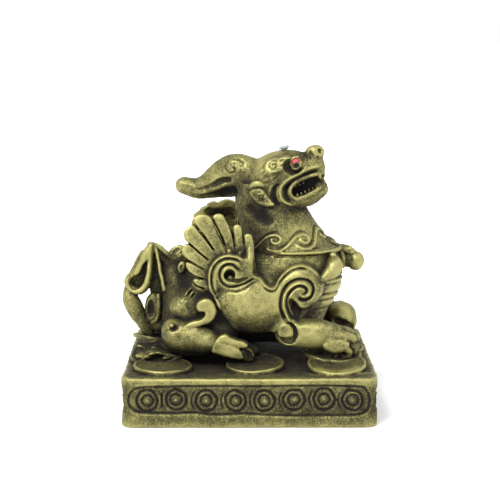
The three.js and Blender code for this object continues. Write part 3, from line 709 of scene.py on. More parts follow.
def wing_relief():
    """The flank as drawn from the side: two scrolls joined by a raised band."""
    flank = Relief((-20, 0), (22, 32))
    band = [
        (-5.9, 11.4), (-6.6, 13.0), (-7.7, 15.2), (-8.1, 17.4), (-8, 19.1), (-7.2, 20.7),
        (-6, 21.8), (-4.6, 22.3), (-3.1, 22.3), (-1.6, 21.9), (0.4, 21.8), (0.9, 20.4), (0.9, 18.6),
        (2.2, 17.6), (3.2, 16.3), (4.3, 15.8), (5.2, 16.1), (6, 17.3), (7.3, 18.8), (8.7, 19.7),
        (10.3, 20), (11.9, 19.6), (13.4, 18.6), (14.6, 17.2), (15, 15.7), (14.7, 14.2),
        (13.9, 12.9), (12.7, 11.9), (11.2, 11.3), (9.8, 11.6), (8.9, 12.6), (8.4, 11.4), (8.6, 9.6),
        (7.4, 8.4), (4, 6.4), (-1.6, 6.4), (-4.4, 9),
    ]
    flank.patch(band, 1.1, 0.5)
    # rims: a raised bead with a groove inside it
    front_rim = [
        (0.8, 18.1), (2.2, 17.4), (3.2, 16.1), (4.3, 15.6), (5.2, 15.9), (5.9, 17.1), (7.3, 18.6),
        (8.7, 19.5), (10.3, 19.8), (11.9, 19.4), (13.3, 18.4), (14.3, 17.1),
    ]
    flank.line(front_rim, 0.22, 0.32, 0.06)
    flank.line([(x + 0.1, z - 0.58) for x, z in front_rim[1:10]], 0.24, -0.5, 0.1)
    rear_rim = [
        (-6.6, 13.4), (-7.2, 14.2), (-7.85, 15.6), (-8.1, 17.4), (-8, 19.1), (-7.2, 20.7),
        (-6.1, 21.7), (-4.8, 22.2), (-3.3, 22.2), (-2, 21.9), (-0.9, 21.2),
    ]
    flank.line(rear_rim, 0.24, 0.34, 0.12)
    rear_groove = [
        (-6.2, 13.6), (-6.9, 14.6), (-7.45, 16), (-7.6, 17.6), (-7.4, 19.2), (-6.6, 20.6),
        (-5.4, 21.45), (-4, 21.7), (-2.5, 21.4), (-1.5, 20.8),
    ]
    flank.line(rear_groove, 0.24, -0.6, 0.1)
    inner_rim = [
        (-6.5, 15), (-6.85, 16.7), (-6.8, 18.8), (-5.9, 20.3), (-4.7, 21), (-3.4, 21.1),
        (-2.3, 20.7), (-1.7, 20),
    ]
    flank.line(inner_rim, 0.3, 0.2, 0.1)
    rear_coil = [
        (0.2, 21.7), (-0.5, 20.9), (-0.9, 19.9), (-1.6, 19.3), (-2.4, 19.7), (-3.4, 20.5),
        (-4.7, 20.5), (-5.7, 19.6), (-5.95, 18.2), (-5.4, 16.9), (-4.1, 16.1), (-2.3, 16.3),
        (-0.4, 17), (1, 17.7),
    ]
    flank.line(rear_coil, 0.25, -0.6, 0.06)
    flank.line([(-4.6, 15.5), (-3, 15.1), (-1.2, 15.6), (0.6, 16.7), (1.8, 17.1)], 0.2, -0.35, 0.2)
    # the front scroll
    outer = [
        (7.8, 8.6), (7.2, 9.3), (6.5, 10.6), (6.1, 12.2), (6.3, 14.1), (7.1, 15.6), (8.4, 16.7),
        (10.1, 17.2), (11.8, 16.8), (12.7, 15.7), (12.7, 14.4), (12.1, 13.4), (11, 13),
        (10.2, 13.2), (9.7, 13.7),
    ]
    flank.line(outer, 0.28, -0.8, 0.04)
    thin = [
        (8.3, 8.8), (7.6, 9.8), (7, 11), (6.75, 12.4), (6.95, 14), (7.7, 15.2), (8.8, 16),
        (10.1, 16.4), (11.4, 16), (12, 15), (11.8, 14.1), (10.9, 13.7), (10.2, 14), (9.9, 14.7),
    ]
    flank.line(thin, 0.2, 0.25, 0.04)
    hollow = [
        (8.8, 9.2), (8.1, 10.2), (7.6, 11.3), (7.35, 12.5), (7.6, 13.9), (8.3, 14.9), (9.2, 15.6),
        (10.2, 15.85), (11.1, 15.5), (11.4, 14.9), (11.1, 14.4), (10.6, 14.5),
    ]
    flank.line(hollow, 0.25, -0.75, 0.06)
    under = [
        (8.5, 9.3), (7.8, 10.6), (7.6, 12.2), (7.9, 13.2), (8.7, 13.1), (9.4, 12.3), (10.2, 11.2),
        (10.3, 10), (9.6, 9.1),
    ]
    flank.patch(under, -0.9, 0.5)
    arm_edge = [
        (15, 16.4), (14.9, 14.6), (13.9, 12.8), (12.4, 11.7), (10.9, 11.4), (9.6, 11.9), (8.9, 13),
    ]
    flank.line(arm_edge, 0.22, 0.15)
    return flank


def on_flanks(depth):
    """Lands a side view's relief on both flanks, further out than depth."""

    def place(x, y, z):
        return x, z, np.clip((np.abs(y) - depth) / 1.2, 0, 1)

    return place


def lay_haunch(wax, side):
    """The haunch with the curl on it, and the hind leg folded along the base."""
    flat = [
        (-16, 11.4), (-15.6, 12.6), (-14.7, 13.5), (-13.4, 14.1), (-12, 15), (-10.8, 16),
        (-9, 16.2), (-6.4, 14.4), (-5.6, 11), (-5.6, 8), (-7, 6.6), (-13.2, 6.6), (-14.3, 8.4),
        (-15.4, 10),
    ]
    wax.add(plate(flat, 6 * side, 11.8 * side, 2.8), 3)
    leg = [
        (-14.9, 11.8, 5.9, 2.7, 2.6),
        (-12.6, 12.5, 5.8, 2.8, 2.8),
        (-10, 12.9, 5.4, 2.8, 2.6),
        (-7.6, 13.1, 4.8, 2.4, 2),
    ]
    wax.add(strand(outward(leg, side)), 0.35)
    wax.add(ball((-15.3, 11.7 * side, 7), (2.3, 2.3, 2.2)), 0.5)
    thigh = [
        (-16.8, 5.6), (-16, 7.8), (-13.4, 8.3), (-11, 7.8), (-7.4, 7), (-7, 4.6), (-8, 3.2),
        (-11.6, 3), (-15.4, 3.6),
    ]
    wax.add(plate(thigh, 9.5 * side, 15.3 * side, 1.8), 0.6)
    wax.add(ball((-11.5, 9.4 * side, 3), (5, 3.4, 2)), 0.5)
    wax.add(ball((-5.6, 10 * side, 6.6), (3.4, 3.4, 3)), 0.6)
    # the foot: a flat paw, cleft in front, with hooked claws
    foot = [
        (-7.5, 3.3), (-7, 5.1), (-6, 6.4), (-4.8, 6.8), (-3.7, 6.1), (-2.4, 5.6), (-1.1, 5.2),
        (-0.3, 4.5), (-0.9, 3.9), (-2.1, 3.9), (-1.5, 3.1), (-1.2, 1.7), (-3.8, 1.9), (-6.2, 2.7),
    ]
    wax.add(plate(foot, 12.6 * side, 15.9 * side, 0.45), 0.1)
    slit = [(-5.6, 5.2, 0.3), (-4.7, 4.9, 0.38), (-3.4, 4.4, 0.28), (-2.2, 4, 0.3)]
    wax.cut(strand([(x, 16.1 * side, z, half) for x, z, half in slit]), 0.15)
    claw = [(-2, 3.7), (-0.9, 3.9), (0.1, 3.6), (0.7, 2.7), (0.8, 1.6), (0, 1.1), (-1.2, 1.3)]
    wax.add(plate(claw, 13 * side, 14.9 * side, 0.3), 0.1)
    for hook in (
        [(-0.7, 14.9, 3.8, 0.28), (0.3, 15, 3.3, 0.26), (0.8, 15, 2.2, 0.22)],
        [(-1.5, 15, 3.3, 0.22), (-0.9, 15, 2.6, 0.22), (-0.9, 15, 1.7, 0.2)],
    ):
        wax.add(strand(outward(hook, side)), 0.1)
    inner = [(-6, 11.6, 4.2, 1.6), (-2.4, 11.2, 3.6, 1.4), (0.6, 10.8, 2.6, 1.1)]
    wax.add(strand(outward(inner, side)), 0.3)
    # the boss on the hock, in its socket
    wax.cut(ball((-15.3, 14.6 * side, 8.2), (1.15, 1.3, 1)), 0.3)
    wax.add(ball((-15.5, 13.6 * side, 8.2), (0.58, 0.6, 0.5)), 0.1)
    # the comma-shaped curl
    comma = [
        (-10.1, 11.3), (-10.4, 12.3), (-9.8, 13.2), (-8.7, 13.6), (-7.6, 13.2), (-6.8, 11.9),
        (-6.9, 10.3), (-7.9, 9.1), (-9.5, 8.4), (-11.4, 8), (-12.9, 8.2), (-11.4, 9), (-9.8, 9.5),
        (-8.9, 10.3), (-8.8, 11), (-9.3, 11.3),
    ]
    wax.add(plate(comma, 11.6 * side, 14.7 * side, 0.35), 0.12)


def comma_relief():
    """The haunch's edge under the wing, the hollow in its curl and creases in the skin."""
    haunch = Relief((-20, 0), (0, 20))
    edge = [
        (-16.7, 14), (-15, 14.1), (-13.2, 13.9), (-12, 14.9), (-10.9, 16.2), (-9.6, 16.4),
        (-7.6, 15.6), (-6, 13.4), (-5.6, 10), (-6.6, 8.2), (-10, 7.8), (-13.2, 8), (-14.3, 9.2),
        (-15.1, 10.6), (-15.9, 12.6),
    ]
    haunch.patch(edge, 0.15, 0.8)
    haunch.patch([(-10.1, 10.6), (-9.4, 10.7), (-9.1, 10.4), (-9.7, 9.8), (-10.4, 9.9)], -0.6, 0.6)
    for crease in (
        [(-13.1, 13.7), (-12.4, 14.6), (-11.6, 15.5)],
        [(-12, 13.6), (-11.7, 14.2), (-11.3, 14.8)],
    ):
        haunch.line(crease, 0.16, 0.3, 0.3)
        haunch.line([(x + 0.3, z - 0.25) for x, z in crease], 0.15, -0.4, 0.3)
        haunch.line([(x - 0.3, z + 0.2) for x, z in crease], 0.15, -0.3, 0.3)
    return haunch


def lay_resting_foreleg(wax, side):
    """The near foreleg, stretched out along the base."""
    arm = [
        (8.6, 8.8, 11, 3, 3),
        (8, 11, 7.2, 2.9, 2.7),
        (11, 12, 6.4, 3, 2.8),
        (14.4, 12.3, 6.1, 2.8, 2.8),
        (17, 12, 5.6, 2.5, 2.6),
    ]
    wax.add(strand(outward(arm, side)), 0.8)
    outer = [
        (7.4, 8.2), (10.4, 8.6), (14, 8.8), (16.6, 8), (17, 5), (15, 3.8), (11, 3.6), (8, 4.1),
        (6.6, 6),
    ]
    wax.add(plate(outer, 9 * side, 14.8 * side, 1.2), 0.6)
    wax.add(ball((7.4, 12.2 * side, 6.7), (2.3, 2.2, 2.5)), 0.3)
    leaf = [
        (14.4, 4.4), (15.3, 5.4), (16.6, 5.7), (17.4, 5.5), (18.1, 5.6), (19.2, 5.2), (19.9, 4.8),
        (19.6, 3.8), (18.8, 3), (17.5, 2.7), (16, 3), (15, 3.5),
    ]
    wax.add(plate(leaf, 12 * side, 15.1 * side, 0.6), 0.12)
    fingers = [
        [(16, 13, 6.6, 1.2, 1.1), (18.6, 13.3, 6, 1.3, 1.1), (20.4, 13.1, 5.4, 1.1, 1)],
        [(16, 11, 6.8, 1.2, 1.2), (19, 11.2, 6.3, 1.3, 1.3), (21.2, 11, 5.3, 1.1, 1.1)],
        [(15.6, 9, 6.4, 1.2, 1.2), (18.8, 9, 5.8, 1.3, 1.3), (20.8, 9, 4.8, 1.1, 1.1)],
    ]
    for rows in fingers:
        wax.add(strand(outward(rows, side)), 0.12)
    for x, out, z in ((20.3, 14.2, 3.4), (21.5, 13, 4), (22, 11, 3.9), (21.6, 9, 3.6)):
        claw = [
            (x - 1.2, out * side, z + 0.2, 0.8),
            (x - 0.4, out * side, z - 0.5, 0.6),
            (x - 0.5, out * side, z - 1.4, 0.4),
        ]
        wax.add(strand(claw), 0.1)
    wax.add(ball((17.4, 11.6 * side, 3), (3.2, 2.4, 1.8)), 0.5)


def lay_raised_foreleg(wax, side):
    """The far foreleg, bent, with its paw on a ball."""
    arm = [
        (8.6, 8.8, 11, 3, 3),
        (8.4, 11.4, 7.6, 2.7, 2.8),
        (12.6, 11, 7, 2.5, 2.6),
        (16.4, 9.6, 6.8, 2.4, 2.4),
        (18.6, 8.8, 6.6, 2.4, 2.2),
    ]
    wax.add(strand(outward(arm, side)), 0.8)
    wax.add(ball((7.4, 12.2 * side, 6.7), (2.3, 2.2, 2.5)), 0.4)
    wax.add(ball((19.2, 8.6 * side, 2.9), (3, 3, 3)))
    wax.add(ball((19.8, 7.6 * side, 6.4), (3.1, 3.6, 2.7), (0, 12, 0)), 0.4)
    for out in (6.4, 8.6, 10.8):
        finger = [
            (19.6, out * side, 7.6, 1.2),
            (21.7, out * side, 6.4, 1.1),
            (22.2, out * side, 4.8, 0.9),
        ]
        wax.add(strand(finger), 0.3)
        claw = [(22.3, out * side, 4.5, 0.7), (22.2, out * side, 3.5, 0.45)]
        wax.add(strand(claw))
    # the hollow of the palm, and a fold over the knuckles
    palm = [
        (17.4, 4.4, 5.6, 1.2, 0.8),
        (18.8, 4.2, 5.1, 1.9, 1.15),
        (20.4, 4.4, 4.5, 1.5, 1),
    ]
    wax.cut(strand(outward(palm, side)), 0.2)
    fold = [
        (18.2, 4.5, 8.3, 0.25),
        (19.4, 4.2, 8.5, 0.35),
        (20.7, 4.5, 8, 0.25),
    ]
    wax.cut(strand(outward(fold, side)), 0.1)
    raised = [(x, out, z + 0.55, half) for x, out, z, half in fold]
    wax.add(strand(outward(raised, side)), 0.15)


def carve_elbow(wax, side):
    """The comma round each elbow: a flat boss and a deep crescent under it."""
    mass = [
        (5.2, 6.6), (5.3, 8), (6, 9.1), (7.4, 9.6), (9, 9.2), (10.2, 7.8), (10.3, 5.9), (9.3, 4.4),
        (7.6, 3.9), (6.1, 4.6), (5.4, 5.6),
    ]
    wax.add(plate(mass, 10 * side, 14.4 * side, 0.9), 0.6)
    crescent = [
        (7.2, 9.2), (8.4, 8.8), (9.3, 7.9), (9.6, 6.6), (9.3, 5.5), (8.5, 4.7), (7.4, 4.6),
        (6.3, 5.2), (6.2, 5.8), (7.2, 5.9), (8.3, 6), (8.8, 6.8), (8.6, 7.8), (7.9, 8.6),
    ]
    wax.cut(plate(crescent, 13.7 * side, 17 * side, 0.15), 0.15)
    boss = [
        (5.5, 7), (5.7, 8.1), (6.4, 8.8), (7.5, 8.7), (8.3, 8), (8.6, 7), (8.3, 6.2), (7.5, 5.9),
        (6.6, 5.9), (5.8, 6.2),
    ]
    wax.add(plate(boss, 12 * side, 15 * side, 0.4), 0.1)


def lay_chest_plates(wax):
    """Plates like a snake's belly down the chest, by angle round it and height."""
    plates = Relief((-3.2, 4), (3.2, 22))
    for height, deep in ((16.3, 0.4), (15.2, 0.25), (13.1, 0.4), (11.8, 0.4), (9.9, 0.25)):
        plates.line([(-1.15, height + 0.2), (0, height), (1.15, height + 0.2)], 0.25, -deep, 0.1)
    for height in (15.75, 14.1, 12.45, 10.8):
        plates.line([(-1.1, height + 0.2), (0, height), (1.1, height + 0.2)], 0.6, 0.15, 0.15)

    def round_chest(x, y, z):
        return np.arctan2(y, x - CHEST_MIDDLE), z, np.clip((x - 12) / 2, 0, 1)

    wax.emboss(plates, (9, -11, 6), (22, 11, 19), round_chest)


def lay_collar_drops(wax):
    """Three tassels hang at the collar, one in front and one on each side."""
    seam = [
        (CHEST_MIDDLE + 9.6 * math.cos(a), 9.5 * math.sin(a), 21.25, 0.3, 0.2)
        for a in np.linspace(-2.1, 2.1, 25)
    ]
    wax.cut(strand(seam), 0.1)
    for side in SIDES:
        drop = [
            (17, 6.9, 20.4, 1.2),
            (17.2, 7.7, 19.3, 1.75),
            (16.3, 8.6, 18.1, 1.45),
            (15, 9.4, 17.1, 0.9),
            (14, 9.9, 16.6, 0.45),
        ]
        wax.add(strand(outward(drop, side)), 0.1)
        wax.add(ball((16.9, 7.6 * side, 21.5), (0.75, 0.8, 0.6)))
        behind = [
            (15.8, 9.3, 20.2, 0.35),
            (15, 9.9, 18.9, 0.42),
            (14.1, 10.3, 17.8, 0.3),
        ]
        wax.cut(strand(outward(behind, side)), 0.1)
    # the one in front, a knob on a stalk with a small cloud over it
    wax.add(strand([(17.6, 0, 20.2, 1.6, 1.9), (20.2, -0.4, 19.8, 1.5, 1.9)]), 0.3)
    wax.add(ball((22, -0.8, 19.3), (1.8, 1.9, 1.95)), 0.2)
    cloud = [(17.8, -0.2, 21.5, 1.5, 0.8), (19.4, -0.6, 21.8, 1.5, 0.85), (21, -0.9, 21.3, 1.2, 0.8)]
    wax.add(strand(cloud), 0.12)
    wax.add(ball((18.7, -1.4, 22.2), (0.7, 0.7, 0.5)), 0.1)
    wax.add(ball((20.9, -1.4, 21.9), (0.6, 0.7, 0.5)), 0.1)
    wax.cut(strand([(20.4, -2.4, 21.4, 0.5), (20.6, -2.7, 20, 0.75), (20, -2.5, 18.2, 0.6)]), 0.2)
    wax.add(strand([(18.6, -1.7, 21.6, 0.6), (19.2, -2.2, 20.2, 0.65), (19.2, -2, 18.4, 0.5)]), 0.15)


def lay_tail(wax):
    """A stem rises behind the rump and falls over in hollow leaves."""
    stem = [
        (-20.2, -2.8, 3.4, 0.9),
        (-21.2, -3.3, 5.3, 1.1),
        (-22.1, -3.5, 6.8, 1.3),
        (-23.1, -3.6, 8.7, 1.65),
        (-23.9, -3.7, 10.6, 1.8),
        (-24.4, -3.6, 12.2, 1.65),
        (-24.2, -3.2, 14, 1.5),
        (-23.2, -2.2, 17, 1.4),
        (-21.6, -1.2, 20.4, 1.2),
    ]
    wax.add(strand(stem), 0.5)
    # the hanging leaf, a cup with a thick rim
    leaf = [
        (-25.4, 14.6), (-25.6, 15.8), (-25, 16.8), (-24.3, 16.5), (-23.9, 17), (-23.5, 18),
        (-22.6, 19.6), (-21.7, 21.7), (-20.6, 23.2), (-19.8, 23.3), (-19.6, 21.9), (-19.8, 19.8),
        (-19.9, 17.2), (-20.2, 15.2), (-21, 13.5), (-22.5, 12.7), (-24.2, 13.2),
    ]
    wax.add(plate(leaf, -4.9, -1.6, 0.8), 0.2)
    hollow = [
        (-20.8, 20), (-20.8, 18), (-21.3, 15.9), (-22.4, 14.3), (-23.6, 14.5), (-24.5, 15.4),
        (-23.8, 16.4), (-22.9, 16.9), (-22.2, 17.7), (-21.6, 19),
    ]
    wax.cut(plate(hollow, -8, -2.6, 0.4), 0.6)
    rim = [
        (-20.4, -2.6, 22.9, 0.6),
        (-20.2, -3.8, 21.2, 0.5),
        (-20.4, -4.6, 19, 0.5),
        (-20.6, -5, 17, 0.55),
        (-21.2, -5.2, 15, 0.65),
        (-22.4, -5.3, 13.7, 0.65),
        (-23.8, -5.1, 13.6, 0.5),
        (-24.9, -4.9, 14.7, 0.45),
        (-25, -4.8, 15.9, 0.5),
    ]
    wax.add(strand(rim), 0.2)
    second = [
        (-20.2, -2.4, 22.8, 0.55),
        (-19.2, -3.2, 21.7, 0.45),
        (-18.6, -3.9, 19.6, 0.42),
        (-18.2, -4.4, 17.4, 0.4),
        (-17.7, -4.9, 15.4, 0.4),
        (-17.4, -5.2, 14.1, 0.55),
    ]
    wax.add(strand(second), 0.15)
    # a rolled crest runs from the leaf's tip to a pod at the wing
    crest = [
        (-20.2, -1.8, 22.7, 0.7),
        (-18.6, -1.9, 22.2, 0.6),
        (-17.3, -2, 21.2, 0.55),
        (-16.3, -2.2, 20.4, 0.55),
        (-15.2, -2.4, 20.1, 0.55),
        (-14, -2.4, 20.8, 0.5),
    ]
    wax.add(strand(crest), 0.15)
    wax.add(ball((-14.6, -0.9, 19.9), (2.4, 1.8, 1.5)), 0.6)
    wax.add(ball((-15, -1.9, 21.5), (1.75, 1.1, 1), (0, -30, 0)), 0.25)
    wax.cut(ball((-15, -3.2, 21.7), (1.3, 0.9, 0.6), (0, -30, 0)), 0.15)
    wax.add(strand([(-20, -1.2, 22, 0.9), (-18.6, -1, 20.6, 1.2), (-17, -0.8, 19.4, 1.2)]), 0.3)
    post = [(-19.6, -1, 20, 0.8, 1.4), (-19.2, -2.2, 15.6, 0.8, 1.5), (-18.2, -2.6, 9, 1.1, 1.7)]
    wax.add(strand(post, (1, 0, 0)), 0.5)
    # a small leaf beside the feathers
    wax.add(ball((-13.9, -4.6, 18.5), (0.9, 0.9, 1.4), (0, 10, 0)), 0.2)
    wax.cut(ball((-13.8, -5.6, 18.6), (0.5, 0.5, 0.9), (0, 10, 0)), 0.15)
    # a small hollow leaf below
    wax.add(ball((-19.9, -3.7, 9.9), (1.6, 1.2, 3.2), (0, 4, 0)), 0.15)
    wax.add(ball((-18.8, -3, 6.4), (1.6, 1.6, 1.6)), 0.6)
    wax.cut(ball((-20.3, -5, 9.9), (0.9, 1, 2.3), (0, 4, 0)), 0.15)
    edge = [
        (-18.7, -4.2, 12.6, 0.42),
        (-18.6, -4.7, 10.4, 0.42),
        (-18.9, -4.6, 8, 0.42),
        (-19.9, -4.2, 6.9, 0.38),
    ]
    wax.add(strand(edge), 0.12)


# Head, neck and horn

# The head is carved in its own frame: forward, to the beast's left, and up.
HEAD_PLACE = np.array([6.5, -1.5, 36.2])
HEAD_RAISED = 22  # degrees
HEAD_TO_ITS_RIGHT = 20
HEAD_WAYS = tilted(0, -HEAD_RAISED, -HEAD_TO_ITS_RIGHT)

NECK_MIDDLE = 7.2  # how far ahead of the base's middle the neck's own middle lies, by the waves
NECK_RADIUS = 8.4

# Each stone's glass, and the way it faces in the head's frame.
STONES = {
    "right_eye_stone": ("red", (0.3, -0.9, 0.32)),
    "left_eye_stone": ("red", (0.3, 0.9, 0.32)),
    "forehead_stone": ("clear", (0.2, 0, 1)),
}


def in_head(shape):
    """A shape made in the head's frame."""
    return placed(shape, HEAD_PLACE, HEAD_WAYS)


def lay_neck(wax):
    """The neck, the ring round its foot and the hollows under the ears."""
    levels = [
        (21.65, 9.3, 0, 9.7, 9.6),
        (22.3, 9, 0, 9.6, 9.5),
        (23.4, 8, 0, 9, 8.8),
        (25.6, 6.7, -0.1, 8.3, 7.8),
        (28, 5.5, -0.3, 7.8, 6.7),
        (30.4, 4.6, -0.6, 7.3, 5.7),
        (32.6, 3.9, -0.8, 6.7, 5.1),
        (35.5, 3.6, -1, 5.8, 4.8),
    ]
    wax.add(tower(levels))
    round_foot = np.linspace(-2.4, 2.4, 33)
    thick = np.interp(np.abs(round_foot), [1.8, 2.2], [0.4, 0.1])
    ring = [
        (9.2 + 9.75 * math.cos(a), 9.65 * math.sin(a), 22.1, half, 0.32)
        for a, half in zip(round_foot, thick)
    ]
    wax.add(strand(ring), 0.1)
    for side in SIDES:
        # the hollow under the ear, behind the jaw
        wax.cut(ball((1.9, -0.6 + 6.5 * side, 29.5), (2.5, 1.9, 1.5), (0, 30, 0)), 1.0)
        wax.cut(ball((-0.2, -0.8 + 5 * side, 30.6), (1.4, 1.4, 1.2), (0, 20, 0)), 0.8)
        wax.cut(ball((3.4, -0.6 + 7 * side, 28.6), (1.6, 1.4, 1)), 0.8)
    # the cloud at the front of the collar
    wax.add(ball((16.6, 0.4, 23.2), (1.7, 2.4, 0.95), (0, 28, 0)), 0.3)
    wax.add(strand([(16.2, -1.8, 23.6, 0.3), (17.4, -2, 23.3, 0.35), (18, -1.6, 22.6, 0.3)]), 0.2)


def wave_relief():
    """A row of breaking waves round the foot of the neck, by distance round it and height."""
    waves = Relief((-30, 20), (30, 32))
    swell = [
        (8, 24.0), (7.2, 23.2), (6.3, 22.95), (5.2, 23.1), (4, 23.8), (2.8, 25), (1.6, 25.9),
        (0.2, 26.3), (-0.9, 26), (-1.2, 25.3), (-0.6, 24.7), (0.3, 24.7), (0.7, 25.3), (0.1, 25.6),
    ]
    for around, rise in ((15.3, -0.7), (9.2, -0.6), (3.2, 0)):
        for side in SIDES:
            wave = [(side * (around + a), b + rise) for a, b in swell]
            waves.line(wave, 0.3, 0.45, 0.05)
            shadow = [(side * (around + a - 0.1), b + rise + 0.55) for a, b in swell[2:9]]
            waves.line(shadow, 0.28, -0.35, 0.2)
            trough = [(side * (around + 5.4), 22.7 + rise), (side * (around + 3.6), 22.9 + rise)]
            waves.line(trough, 0.2, -0.3, 0.3)
    return waves


def round_neck(x, y, z):
    """Lands the waves round the neck, above its ring."""
    share = np.clip((z - 22.2) / 0.5, 0, 1) * np.clip((30 - z) / 2, 0, 1)
    return np.arctan2(y, x - NECK_MIDDLE) * NECK_RADIUS, z, share


def lay_skull(wax):
    """Skull, muzzle and lower jaw, with nose and cheeks."""
    upper = [
        (-4.4, 0, 0.6, 3.8, 3.9),
        (-2.6, 0, 0.7, 4.9, 4.9),
        (-0.4, 0, 0.9, 5, 5),
        (1.8, 0, 0.9, 4.7, 4.7),
        (3.8, 0, 0.8, 3.9, 3.7),
        (5.6, 0, 0.5, 3.1, 2.8),
        (7.2, 0, 0.5, 2.4, 2.5),
        (8.3, 0, 0.5, 1.7, 2.1),
    ]
    wax.add(in_head(strand(upper)), 0.6)
    jaw = [
        (-1.6, 0, -3, 4.1, 2),
        (0.6, 0, -4.2, 4, 1.9),
        (2.6, 0, -5.2, 3.7, 1.6),
        (4.6, 0, -5.6, 3, 1.3),
        (6.1, 0, -5.5, 2.4, 1.15),
        (7.3, 0, -5.2, 1.6, 1.1),
    ]
    wax.add(in_head(strand(jaw)), 0.5)
    # nose, and the pad of the upper lip under it
    wax.add(in_head(ball((9, 0, 2.5), (1.7, 2, 1.5))), 0.4)
    wax.add(in_head(ball((8.6, 0, -0.8), (1.1, 1.6, 1.1))), 0.4)
    wax.cut(in_head(ball((10.6, 0, 0.6), (0.7, 1.8, 0.4))), 0.3)
    for side in SIDES:
        # cheek and jowl, behind the mouth
        wax.add(in_head(ball((-0.4, 3 * side, -2.6), (3, 2, 3.6), (0, -12, 0))), 0.8)
        wax.add(in_head(ball((8.6, 0.9 * side, 3), (1.3, 1.1, 1.15))), 0.4)
        wax.cut(in_head(strand([(8.5, 2.1 * side, 2.8, 0.5), (8.8, 2.1 * side, 1.9, 0.45)])), 0.2)
        wax.cut(in_head(ball((10.2, 1 * side, 2.6), (0.6, 0.6, 0.6))), 0.2)
        wax.cut(in_head(ball((9.6, 1.6 * side, 1.4), (0.35, 0.5, 0.4))), 0.2)
    # the ridge down the nose
    ridge = [(4.4, 0, 3.7, 0.9, 0.7), (6.4, 0, 3, 0.8, 0.5), (8, 0, 3.2, 0.8, 0.6)]
    wax.add(in_head(strand(ridge)), 0.6)


# The mouth's gap, from its corner to the front: forward, up, and half its height there.
MOUTH_GAP = [
    (3.1, -3.4, 0.9),
    (4.1, -3.3, 1.1),
    (5.1, -3.2, 1.2),
    (6.1, -3.1, 1.2),
    (7.1, -3, 1.1),
    (8.1, -3, 0.9),
    (9.1, -3.1, 0.8),
    (10.1, -3.2, 0.9),
]


def lay_mouth(wax):
    """The open mouth, with teeth, lips and a tongue that closes it off in the middle."""
    gap = []
    for forward, up, half in MOUTH_GAP:
        for ahead in (forward, forward + 0.5):
            gap += strand([(ahead, -7, up, half), (ahead, 7, up, half)])
    wax.cut(in_head(gap), 0.3)
    tongue = [
        (0.5, 0, -3.4, 1.6, 2.4),
        (4.5, 0, -3.4, 1, 2),
        (7.2, 0, -3.4, 0.7, 1.9),
        (8, 0, -3.9, 0.6, 0.9),
    ]
    wax.add(in_head(strand(tongue)))
    for side in SIDES:
        # a row of teeth below and one above, a fang, and the pad in front of the lower lip
        for i in range(6):
            forward = 3.2 + 0.8 * i
            left = (3 - 0.26 * i) * side
            wax.add(in_head(ball((forward, left, -4.25 + 0.03 * i), (0.22, 0.26, 0.4))), 0.15)
            wax.add(in_head(ball((forward + 0.3, left, -2.3), (0.22, 0.26, 0.3))), 0.15)
        fang = [
            (8.4, 1.2, -1.9, 0.5),
            (8.4, 1.25, -2.4, 0.35),
            (8.3, 1.2, -2.8, 0.15),
        ]
        wax.add(in_head(strand(outward(fang, side))), 0.1)
        wax.add(in_head(ball((7.4, 0.9 * side, -4), (0.8, 0.8, 0.75))), 0.2)
        lips = [
            (8.8, 0.7, -1.8, 0.35),
            (8, 1.8, -1.6, 0.4),
            (6, 2.6, -1.5, 0.4),
            (4.3, 3.3, -1.6, 0.38),
            (3, 3.8, -2.1, 0.36),
            (2.3, 4, -3, 0.35),
            (2.3, 3.9, -4.2, 0.38),
            (3.1, 3.5, -5, 0.45),
            (4.8, 2.9, -5.1, 0.5),
            (6.6, 2.3, -4.9, 0.5),
            (7.6, 1.6, -4.5, 0.5),
            (8.2, 0.5, -4.2, 0.5),
        ]
        wax.add(in_head(strand(outward(lips, side))), 0.2)


